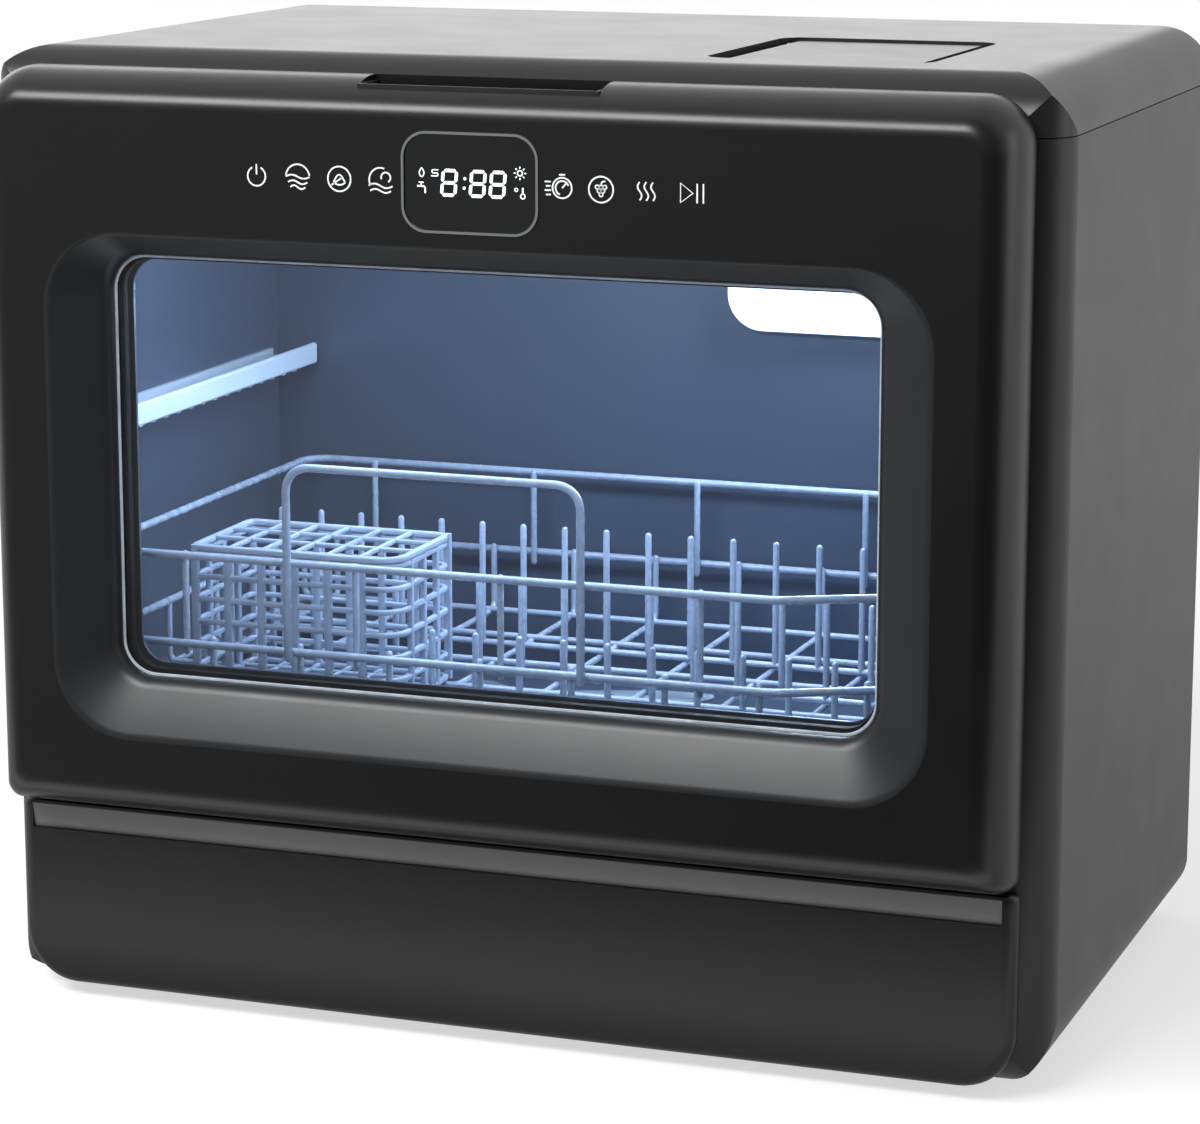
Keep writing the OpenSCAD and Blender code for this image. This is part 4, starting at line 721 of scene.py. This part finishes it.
        def circle(cx, cz, r, a0=0.0, a1=360.0, line=w):
            whole = a1 - a0 >= 360
            s = t if whole else np.radians(np.linspace(a0, a1, 25))
            parts.append(self.line(np.stack([cx + r * np.cos(s), z + cz + r * np.sin(s)], -1), y, line,
                                   whole))

        def stroke(cx, points, r=0.0, line=w):
            p = np.asarray(points, float) + (cx, z)
            parts.append(self.line(bent(p, r, 5) if r else p, y, line))

        def wave(cx, x0, x1, cz, high, turns, upright=False):
            s = np.linspace(0, 1, 17)
            a, b = x0 + (x1 - x0) * s, cz + high * np.sin(s * 2 * np.pi * turns)
            p = np.stack([b + cx, a + z] if upright else [a + cx, b + z], -1)
            parts.append(self.line(p, y, w))

        # standby
        circle(-87.3, -0.2, 3.7, 118, 422)
        stroke(-87.3, [(0, 0.4), (0, 4.4)])
        # everyday wash
        circle(-70.2, 0, 4.9, 8, 172)
        for k, cz in enumerate((0.2, -1.9, -3.8)):
            wave(-70.2, -4.9 + 0.9 * k, 4.9 - 0.9 * k, cz, 0.7, 1)
        # saving wash
        circle(-53.0, 0, 4.7)
        s = np.linspace(0, np.pi, 13)
        for high in (3.0, -0.9):
            leaf = np.stack([-53.0 - 2.4 + 4.8 * s / np.pi, z - 1.4 + high * np.sin(s)], -1)
            parts.append(self.line(leaf, y, w))
        stroke(-53.0, [(-3.2, -2.4), (0.8, 0.3)])
        # strong wash
        circle(-36.1, 0.2, 4.6, 70, 205)
        wave(-36.1, -4.9, 4.9, -2.0, 0.8, 1)
        wave(-36.1, -4.2, 4.2, -3.9, 0.7, 1)
        circle(-33.9, 1.2, 1.9, -60, 200)
        # quick wash
        circle(36.9, 0, 3.8)
        circle(36.9, 0, 2.6, 20, 250)
        stroke(36.9, [(0, 0), (1.6, 1.7)])
        stroke(36.9, [(-1.2, 4.9), (1.2, 4.9)])
        for k, cz in enumerate((2.2, 0.6, -1.0, -2.6)):
            stroke(31.0, [(-1.0 + 0.5 * (k % 2), cz), (1.4, cz)])
        # rinsing of fruit
        circle(52.2, 0, 4.8)
        for fx, fz in ((-1.5, 0.9), (0, 0.9), (1.5, 0.9), (-0.75, -0.5), (0.75, -0.5), (0, -1.9)):
            circle(52.2 + fx, fz, 0.72, line=w * 0.8)
        stroke(52.2, [(0, 1.7), (0.4, 2.9), (1.7, 3.1)], 0.5)
        # drying
        for k in (-2.6, 0.0, 2.6):
            wave(69.9 + k, -3.4, 3.4, 0, 0.8, 1, True)
        # start and pause
        parts.append(self.line([(83.2, z - 3.6), (83.2, z + 3.6), (88.0, z)], y, w, True))
        stroke(87.0, [(2.6, -3.6), (2.6, 3.6)])
        stroke(87.0, [(5.0, -3.6), (5.0, 3.6)])
        return parts


class DISHWASHER_OT_door_fittings(Part):
    """Finger cup, latch, hinge pins and brackets, detergent cup and its lid"""
    bl_idname = "dishwasher.door_fittings"
    bl_label = "Door fittings"

    def make(self, scene):
        dress("handle_cup", moulded("finger_cup", hue("141415"), 0.5, grain=0.0012, depth=0.00005))
        dress("latch_tongue", brushed("stamped_latch", hue("a2a6ab"), 0.3, (30, 1, 30)))
        dress("hinge_pins", brushed("turned_hinge_pins", hue("a9adb2"), 0.22, (30, 1, 1)))
        dress("hinge_brackets", cast("zinc_brackets", hue("84888d"), 0.4, grain=0.002))
        dress("detergent_cup", moulded("detergent_cup_plastic", hue("aab2ba"), 0.4, grain=0.0012))
        dress("detergent_lid", moulded("detergent_lid_plastic", hue("c3cad1"), 0.35, grain=0.0010,
                                       patch=0.02))
        dress("latch_switch", moulded("switch_body", hue("2b2d30"), 0.5, grain=0.0008, patch=0.01))
        dress("latch_roller", moulded("roller_plastic", hue("d8dadc"), 0.35, grain=0.0007, patch=0.004))


class DISHWASHER_OT_tub(Part):
    """Tub walls, seal, rails, lamp cover and the lamp"""
    bl_idname = "dishwasher.tub"
    bl_label = "Tub"

    def make(self, scene):
        c = scene.dishwasher_colours
        dress("tub", plain("tub_wall", c.tub, 0.32, (0.16, 2.0, 0.92, 1.06), (0.05, 3.0, 0.30, 0.35),
                           (0.0012, 0.00002, 0.5), metal=0.25))
        dress("tub_seal", rubber("tub_seal_rubber", hue("17181a"), 0.6))
        dress("basket_rails", moulded("rail_plastic", hue("4a5058"), 0.45, grain=0.0012))
        dress("shelf_rail", moulded("shelf_rail_plastic", hue("aebac8"), 0.35, grain=0.0010, patch=0.03))
        dress("lamp_cover", glowing("lamp_diffuser", hue("d3e6fb"), 0.95))
        dress("cup_shelf", moulded("cup_shelf_plastic", hue("c3d0e0"), 0.32, grain=0.0010, patch=0.03))
        power = scene.dishwasher_stage.inside
        lo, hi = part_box("lamp_cover")
        lamp("tub_lamp", ((lo.x + hi.x) / 2, lo.y - 0.003, (lo.z + hi.z) / 2), (0.0, -0.09, 0.16), power,
             0.10, 0.07,
             (0.72, 0.86, 1.0))
        lamp("tub_glow", (-0.02, -0.07, 0.345), (-0.02, 0.0, 0.12), power * 0.8, 0.26, 0.06,
             (0.70, 0.84, 1.0))


class DISHWASHER_OT_basket(Part):
    """Coated wire basket: rims with handle loop, floor, plate tines and glides"""
    bl_idname = "dishwasher.basket"
    bl_label = "Dish basket"

    def make(self, scene):
        """Each wire is a circle carried along a line whose corners are rounded by arcs."""
        s, b = scene.dishwasher_wires, BASKET
        c = scene.dishwasher_colours
        r, q = s.rim, s.floor
        x0, x1, y0, y1 = b["x0"], b["x1"], b["y0"], b["y1"]
        bend_x, bend_y = x1 - 0.045, 0.022
        inner = r + q

        def coated(name, shade, rough):
            return plain(name, c.wire, rough, (shade, 3.0, 0.9, 1.08),
                         (0.004, 3.0, rough - 0.06, rough + 0.1),
                         (0.0012, 0.00003, 0.5), **{"Coat Weight": 0.5, "Coat Roughness": 0.12})

        rims = []
        mid = (x0 + x1) / 2
        for z in (b["rim"], b["low"]):
            line = np.array([(mid, y0, z), (bend_x, y0, z), (x1, y0 + bend_y, z), (x1, y1, z), (x0, y1, z),
                             (x0, y0, z), (mid, y0, z)])
            rims.append(wire(bent(line, 0.012, 8)[:-1], r, (0, 0, 1), closed=True))
        for x in np.array([41, 116, 178, 261]) * MM + x0:
            rims.append(wire([(x, y0 + inner, b["low"] - 0.004), (x, y0 + inner, b["rim"])], q, (1, 0, 0)))
        step = (x1 - x0 - 0.028) / 8
        for i in (0.5, 2.5, 4.5, 6.5):
            x = x0 + 0.014 + i * step
            rims.append(wire([(x, y1 - inner, b["low"] - 0.004), (x, y1 - inner, b["rim"])], q, (1, 0, 0)))
        lx0, lx1, top = x0 + 0.089, x0 + 0.214, b["rim"] + 0.040
        front = y0 - 2 * r
        loop = [(lx0, front, b["low"] - r), (lx0, front, top), (lx1, front, top), (lx1, front, b["low"] - r)]
        rims.append(wire(bent(loop, 0.010, 10), r, (0, 1, 0)))
        put("basket_rim_wires", join(rims), "dish_basket", coated("coated_rim_wire", 0.03, 0.24),
            ("basket_rims",), 60)

        floor = []
        foot, z = y0 + 0.019, b["floor"]
        back = y1 - inner
        cross = foot + 0.004 + np.arange(5) * (back - foot - 0.010) / 4
        for i in range(9):
            x = x0 + 0.014 + i * step
            off = bend_y * (x - bend_x) / (x1 - bend_x) + 0.0005 if x > bend_x else 0.0
            front = y0 + inner + off
            line = [(x, front, b["low"] + r), (x, front, z + 0.0116), (x, foot + off, z), (x, back, z),
                    (x, back, b["low"] + r)]
            floor.append(wire(bent(line, s.bend, 6), q, (1, 0, 0)))
        for y in cross:
            line = [(x0, y, b["low"] - r * 0.5), (x0, y, z + q), (x1, y, z + q), (x1, y, b["low"] - r * 0.5)]
            floor.append(wire(bent(line, s.bend * 0.6, 5), q, (0, 1, 0)))
        for x in (x0, x1):
            floor.append(wire([(x, foot + 0.006, z), (x, back - 0.004, z)], q, (1, 0, 0)))
        put("basket_floor_wires", join(floor), "dish_basket",
            coated("coated_floor_wire", 0.04, 0.26), ("basket_floor",), 60)

        tines = []
        zt = z + 2 * q
        for k in range(3):
            y = foot + 0.020 + k * 0.052
            start = x0 + 0.020 + (6 * 0.019 if k == 0 else 0.0)
            n = int((x1 - 0.010 - start) / 0.019 + 1e-6)
            tines.append(wire([(start - 0.004, y, zt), (start + n * 0.019 + 0.004, y, zt)], q, (0, 1, 0)))
            high = zt + 0.028 + 0.012 * k
            tines += [wire([(start + i * 0.019, y, zt), (start + i * 0.019, y, high)], q, (0, 1, 0))
                      for i in range(n + 1)]
        put("plate_tine_wires", join(tines), "dish_basket",
            coated("coated_tine_wire", 0.02, 0.26), ("plate_tines",), 60)
        dress("basket_glides", moulded("glide_plastic", hue("e2e6ea"), 0.3, grain=0.0009, patch=0.01))


class DISHWASHER_OT_cutlery_basket(Part):
    """Cutlery basket of rounded slats, posts and a pocket grid"""
    bl_idname = "dishwasher.cutlery_basket"
    bl_label = "Cutlery basket"

    def make(self, scene):
        """Slats are flat rounded bars carried round a rounded rectangle at seven heights. Posts stand in the
        same wall, and the top and bottom are lattices of straight bars."""
        k = CUTLERY
        x0, x1, y0, y1, z0, z1 = k["x0"], k["x1"], k["y0"], k["y1"], k["z0"], k["z1"]
        t = 0.001
        radii = (0.003, 0.010, 0.006, 0.003)
        parts = []
        loop = outline(x0 + t, x1 - t, y0 + t, y1 - t, radii, 8)

        def around(z, w, h):
            path = np.column_stack([loop, np.full(len(loop), z)])
            parts.append(sweep(path, section(w, h, 0.0005, 3), (0, 0, 1), closed=True))

        for i in range(7):
            around(z0 + 0.0012 + i * (z1 - z0 - 0.0052) / 6, 0.0022, 0.0022)
        around(z1 - 0.0014, 0.0028, 0.0026)
        post = section(0.0033, 0.0026, 0.0006, 3)
        flat = section(0.0024, 0.0030, 0.0006, 3)
        up = np.array([z0 + 0.0004, z1 - 0.0004])
        for i in range(7):
            x = x0 + 0.00165 + i * (x1 - x0 - 0.0033) / 6
            for y in (y0 + t, y1 - t):
                if i == 6 and y < (y0 + y1) / 2:
                    continue
                line = np.column_stack([np.full(2, x), np.full(2, y), up])
                parts.append(sweep(line, post, (0, 1, 0)))
        for j in range(1, 4):
            y = y0 + 0.00165 + j * (y1 - y0 - 0.0033) / 4
            for x in (x0 + t, x1 - t):
                line = np.column_stack([np.full(2, x), np.full(2, y), up])
                parts.append(sweep(line, flat, (0, 1, 0)))
        bar = section(0.0018, 0.0020, 0.0005, 3)
        for i in range(1, 6):
            x = x0 + 0.003 + i * (x1 - x0 - 0.006) / 6
            for z in (z1 - 0.001, z0 + 0.001):
                parts.append(sweep([(x, y0 + t, z), (x, y1 - t, z)], bar, (0, 0, 1)))
        for j in range(1, 6):
            y = y0 + 0.003 + j * (y1 - y0 - 0.006) / 6
            for z in (z1 - 0.001, z0 + 0.001):
                if z > z0 + 0.01 and j % 2:
                    continue
                parts.append(sweep([(x0 + t, y, z), (x1 - t, y, z)], bar, (0, 0, 1)))
        pale = plain("cutlery_basket_plastic", scene.dishwasher_colours.cutlery, 0.36, (0.02, 3.0, 0.9, 1.08),
                     (0.01, 3.0, 0.3, 0.45), (0.0010, 0.00004, 0.6), **{"Coat Weight": 0.2})
        put("cutlery_holder", join(parts), "cutlery_basket", pale, ("cutlery_basket",), 45)


class DISHWASHER_OT_tub_floor(Part):
    """Spray arm, filter, float and their seats"""
    bl_idname = "dishwasher.tub_floor"
    bl_label = "Tub floor"

    def make(self, scene):
        dress("spray_arm", moulded("spray_arm_plastic", hue("7c8792"), 0.38, grain=0.0012, patch=0.03))
        dress("spray_hub", moulded("spray_hub_plastic", hue("6d7782"), 0.4, grain=0.0010, patch=0.02))
        dress("filter_plate", brushed("filter_plate_steel", hue("aeb6bf"), 0.3, (1, 30, 30)))
        mesh = Finish("filter_mesh", hue("8f98a3"), 0.35, metal=0.8)
        holes = mesh.cells(0.0016)
        mesh.paint(mesh.blend(mesh.span(holes, 0.0, 1.0, 0.25, 0.4), mesh.base * 0.25, mesh.base))
        mesh.relief(holes, 0.0002, 0.8)
        dress("filter_basket", mesh.mat)
        dress("float", moulded("float_plastic", hue("c7ced6"), 0.34, grain=0.0010, patch=0.01))
        dress("float_guide", moulded("float_guide_plastic", hue("9aa3ad"), 0.4, grain=0.0011, patch=0.015))


class DISHWASHER_OT_works(Part):
    """Pumps, heater, tank, fan, valves and boards behind the covers"""
    bl_idname = "dishwasher.works"
    bl_label = "Works"

    def make(self, scene):
        dress("sump", moulded("sump_plastic", hue("4c5157"), 0.5, grain=0.0016, depth=0.00008))
        dress("wash_pump", cast("pump_casting", hue("4b4f55"), 0.5, grain=0.0025))
        dress("pump_impeller", moulded("impeller_plastic", hue("c9ccd0"), 0.4, grain=0.0009, patch=0.01))
        dress("feed_pipe", rubber("feed_pipe_rubber", hue("2a2c30"), 0.6))
        dress("heater", brushed("heater_sheath", hue("b08b52"), 0.3, (1, 12, 12), 0.003))
        dress("drain_pump", moulded("drain_pump_body", hue("3a3e44"), 0.48, grain=0.0013, depth=0.00006))
        dress("port_recess", moulded("port_recess_plastic", hue("232427"), 0.5, grain=0.0013, depth=0.00005))
        dress("inlet_valve", moulded("valve_nylon", hue("e0e2e4"), 0.4, grain=0.0011, patch=0.012))
        dress("drain_spout", moulded("spout_nylon", hue("2b2d31"), 0.42, grain=0.0009, patch=0.01))
        dress("water_tank", moulded("blown_tank", hue("cfd4da"), 0.45, grain=0.0020, depth=0.00012,
                                    patch=0.04))
        dress("fill_funnel", moulded("funnel_plastic", hue("b9bfc6"), 0.4, grain=0.0012, patch=0.02))
        dress("fan_housing", moulded("fan_housing_plastic", hue("34373b"), 0.5, grain=0.0014, depth=0.00006))
        dress("drying_fan", moulded("fan_plastic", hue("5b6066"), 0.42, grain=0.0010, patch=0.015))
        dress("power_board", board("power_board_lacquer", hue("23553a")))
        dress("cable_gland", rubber("gland_rubber", hue("1a1b1d"), 0.6, grain=0.0009))


def lamp(name, at, to, power, width, height, tone=(1.0, 1.0, 1.0)):
    """A rectangular lamp at a point, turned towards another."""
    data = bpy.data.lights.new(name, "AREA")
    data.shape, data.size, data.size_y, data.energy, data.color = "RECTANGLE", width, height, power, tone
    obj = bpy.data.objects.new(name, data)
    obj.location = at
    way = np.array(to, float) - np.array(at, float)
    flat = math.hypot(way[0], way[1])
    obj.rotation_euler = (math.atan2(flat, -way[2]), 0.0, math.atan2(-way[0], way[1]) if flat > 1e-9 else 0.0)
    obj.visible_camera = False
    bpy.context.scene.collection.objects.link(obj)
    return obj


class DISHWASHER_OT_stage(Part):
    """Pale floor, soft lamps, room light and the camera"""
    bl_idname = "dishwasher.stage"
    bl_label = "Stage"

    def make(self, scene):
        v = scene.dishwasher_stage
        # floor: a wide flat ring grid; the camera and glass see it white, with the object's shadow kept;
        # mirrors see it glow dimly in front of the object, a little more to the left, and brighter farther
        # off at the sides and behind
        r = np.array([0.02, 0.3, 0.6, 1.0, 2.0, 5.0, 14.0])[:, None]
        a = np.linspace(0, 2 * np.pi, 65)[None, :-1]
        p = np.stack([r * np.cos(a), r * np.sin(a), np.zeros_like(r * a)], -1)
        v0, f0 = grid(p, wrap_v=True)
        f0.append(np.arange(64)[None])
        up = np.cross(v0[f0[0][0, 1]] - v0[f0[0][0, 0]], v0[f0[0][0, 2]] - v0[f0[0][0, 0]])[2] > 0
        f0[0] = f0[0] if up else f0[0][:, ::-1]
        f = Finish("studio_floor", hue("dcdcda"), 0.7)
        f.gloss(f.span(f.noise(0.3, 2.0), 0.6, 0.8))
        f.tree.nodes.remove(f.shader)
        matt = f.node("ShaderNodeBsdfDiffuse", {"Color": (*hue("d2d2d0"), 1)})
        soft = f.node("ShaderNodeBsdfDiffuse", {"Color": (0.5, 0.5, 0.5, 1)})
        near = f.node("ShaderNodeEmission", {"Color": (1, 1, 1, 1), "Strength": 0.62})
        far = f.node("ShaderNodeEmission", {"Color": (1, 1, 1, 1), "Strength": 1.0})
        both = f.node("ShaderNodeAddShader")
        f.link(soft.outputs[0], both.inputs[0])
        f.link(near.outputs[0], both.inputs[1])
        dist = f.node("ShaderNodeVectorMath", operation="LENGTH")
        f.link(f.place, dist.inputs[0])
        fade = f.mixed(f.span(dist.outputs["Value"], 0.0, 1.0, 0.55, 1.3), both.outputs[0], far.outputs[0])
        spot = f.node("ShaderNodeSeparateXYZ")
        f.link(f.place, spot.inputs[0])
        even = f.node("ShaderNodeMix", data_type="FLOAT")
        f.link(f.span(dist.outputs["Value"], 0.55, 0.85, 0.3, 1.5), even.inputs["B"])
        f.link(f.span(spot.outputs["Y"], 0.0, 1.0, -0.42, -0.18), even.inputs["Factor"])
        f.link(f.span(spot.outputs["X"], 0.34, 0.02, -0.6, 0.05), even.inputs["A"])
        mirrored = f.node("ShaderNodeEmission", {"Color": (1, 1, 1, 1)})
        f.link(even.outputs[0], mirrored.inputs["Strength"])
        self.seen(f, matt.outputs[0], fade, mirrored.outputs[0])
        floor = put("studio_floor", (v0, f0), None, f.mat)

        world = bpy.data.worlds.new("studio_room")
        scene.world = world
        world.use_nodes = True
        t = world.node_tree
        t.nodes.clear()
        path = t.nodes.new("ShaderNodeLightPath")
        way = t.nodes.new("ShaderNodeTexCoord")
        part = t.nodes.new("ShaderNodeSeparateXYZ")
        t.links.new(way.outputs["Generated"], part.inputs[0])
        front = t.nodes.new("ShaderNodeMapRange")
        for key, value in (("From Min", -0.5), ("From Max", 0.0), ("To Min", 0.2), ("To Max", 0.85)):
            front.inputs[key].default_value = value
        t.links.new(part.outputs["Y"], front.inputs["Value"])
        out = t.nodes.new("ShaderNodeOutputWorld")
        last = None
        for share, strength in ((None, v.room), ("Is Glossy Ray", front.outputs[0]),
                                ("Is Transmission Ray", 1.0),
                                ("Is Camera Ray", 1.0)):
            light = t.nodes.new("ShaderNodeBackground")
            light.inputs["Color"].default_value = (1, 1, 1, 1)
            if isinstance(strength, float):
                light.inputs["Strength"].default_value = strength
            else:
                t.links.new(strength, light.inputs["Strength"])
            if last is None:
                last = light.outputs[0]
                continue
            mix = t.nodes.new("ShaderNodeMixShader")
            t.links.new(path.outputs[share], mix.inputs[0])
            t.links.new(last, mix.inputs[1])
            t.links.new(light.outputs[0], mix.inputs[2])
            last = mix.outputs[0]
        t.links.new(last, out.inputs[0])

        lamp("key_lamp", (-0.52, -1.22, 1.32), (0.0, -0.1, 0.25), v.key, 1.4, 0.5)
        lamp("back_lamp", (-1.0, 1.9, 0.85), (0.0, 0.0, 0.3), v.back, 2.0, 0.8)
        lamp("floor_lamp", (-0.05, -0.205, 0.004), (-0.05, -0.205, 1.0), v.low, 1.1, 0.08)
        lamp("side_lamp", (1.9, 0.3, 0.7), (0.0, 0.05, 0.2), v.side, 0.7, 1.2)

        cam = bpy.data.cameras.new("camera")
        cam.lens, cam.sensor_width, cam.sensor_fit = 117.24, 36.0, "HORIZONTAL"
        cam.clip_start, cam.clip_end = 0.05, 60.0
        eye = bpy.data.objects.new("camera", cam)
        eye.location = (0.5419, -1.5027, 0.5093)
        eye.rotation_euler = (math.radians(90 - 11.905), 0.0, math.radians(19.908))
        scene.collection.objects.link(eye)
        scene.camera = eye
        scene.view_settings.view_transform = "Standard"

    @staticmethod
    def seen(f, plain, shown, mirrored):
        """Shows one shader to the camera and through glass, another to mirrors, and the first to the rest of
        the light."""
        path = f.node("ShaderNodeLightPath")
        direct = f.node("ShaderNodeMath", operation="MAXIMUM")
        f.link(path.outputs["Is Camera Ray"], direct.inputs[0])
        f.link(path.outputs["Is Transmission Ray"], direct.inputs[1])
        last = plain
        for share, shader in ((path.outputs["Is Glossy Ray"], mirrored), (direct.outputs[0], shown)):
            last = f.mixed(share, last, shader)
        f.link(last, f.out.inputs[0])


STEPS = (DISHWASHER_OT_casing, DISHWASHER_OT_door, DISHWASHER_OT_lower_panel, DISHWASHER_OT_window,
         DISHWASHER_OT_controls, DISHWASHER_OT_door_fittings,
         DISHWASHER_OT_tub, DISHWASHER_OT_basket, DISHWASHER_OT_cutlery_basket, DISHWASHER_OT_tub_floor,
         DISHWASHER_OT_works,
         DISHWASHER_OT_stage)
GROUPS = (DoorSizes, WireSizes, FinishColours, StageValues)


class DISHWASHER_PT_panel(bpy.types.Panel):
    """Sidebar list of the sizes, colours and steps"""
    bl_idname = "DISHWASHER_PT_panel"
    bl_label = "Countertop dishwasher"
    bl_space_type = "VIEW_3D"
    bl_region_type = "UI"
    bl_category = "Dishwasher"

    def draw(self, context):
        for group in ("dishwasher_door", "dishwasher_wires", "dishwasher_colours", "dishwasher_stage"):
            values = getattr(context.scene, group)
            box = self.layout.box()
            for key in values.__annotations__:
                box.prop(values, key)
        for step in STEPS:
            self.layout.operator(step.bl_idname)


def register():
    for cls in GROUPS + STEPS + (DISHWASHER_PT_panel,):
        bpy.utils.register_class(cls)
    bpy.types.Scene.dishwasher_door = PointerProperty(type=DoorSizes)
    bpy.types.Scene.dishwasher_wires = PointerProperty(type=WireSizes)
    bpy.types.Scene.dishwasher_colours = PointerProperty(type=FinishColours)
    bpy.types.Scene.dishwasher_stage = PointerProperty(type=StageValues)


def unregister():
    for name in ("dishwasher_door", "dishwasher_wires", "dishwasher_colours", "dishwasher_stage"):
        delattr(bpy.types.Scene, name)
    for cls in reversed(GROUPS + STEPS + (DISHWASHER_PT_panel,)):
        bpy.utils.unregister_class(cls)


def main():
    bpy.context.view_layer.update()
    register()
    for step in STEPS:
        getattr(bpy.ops.dishwasher, step.bl_idname.split(".")[1])()


if __name__ == "__main__":
    main()
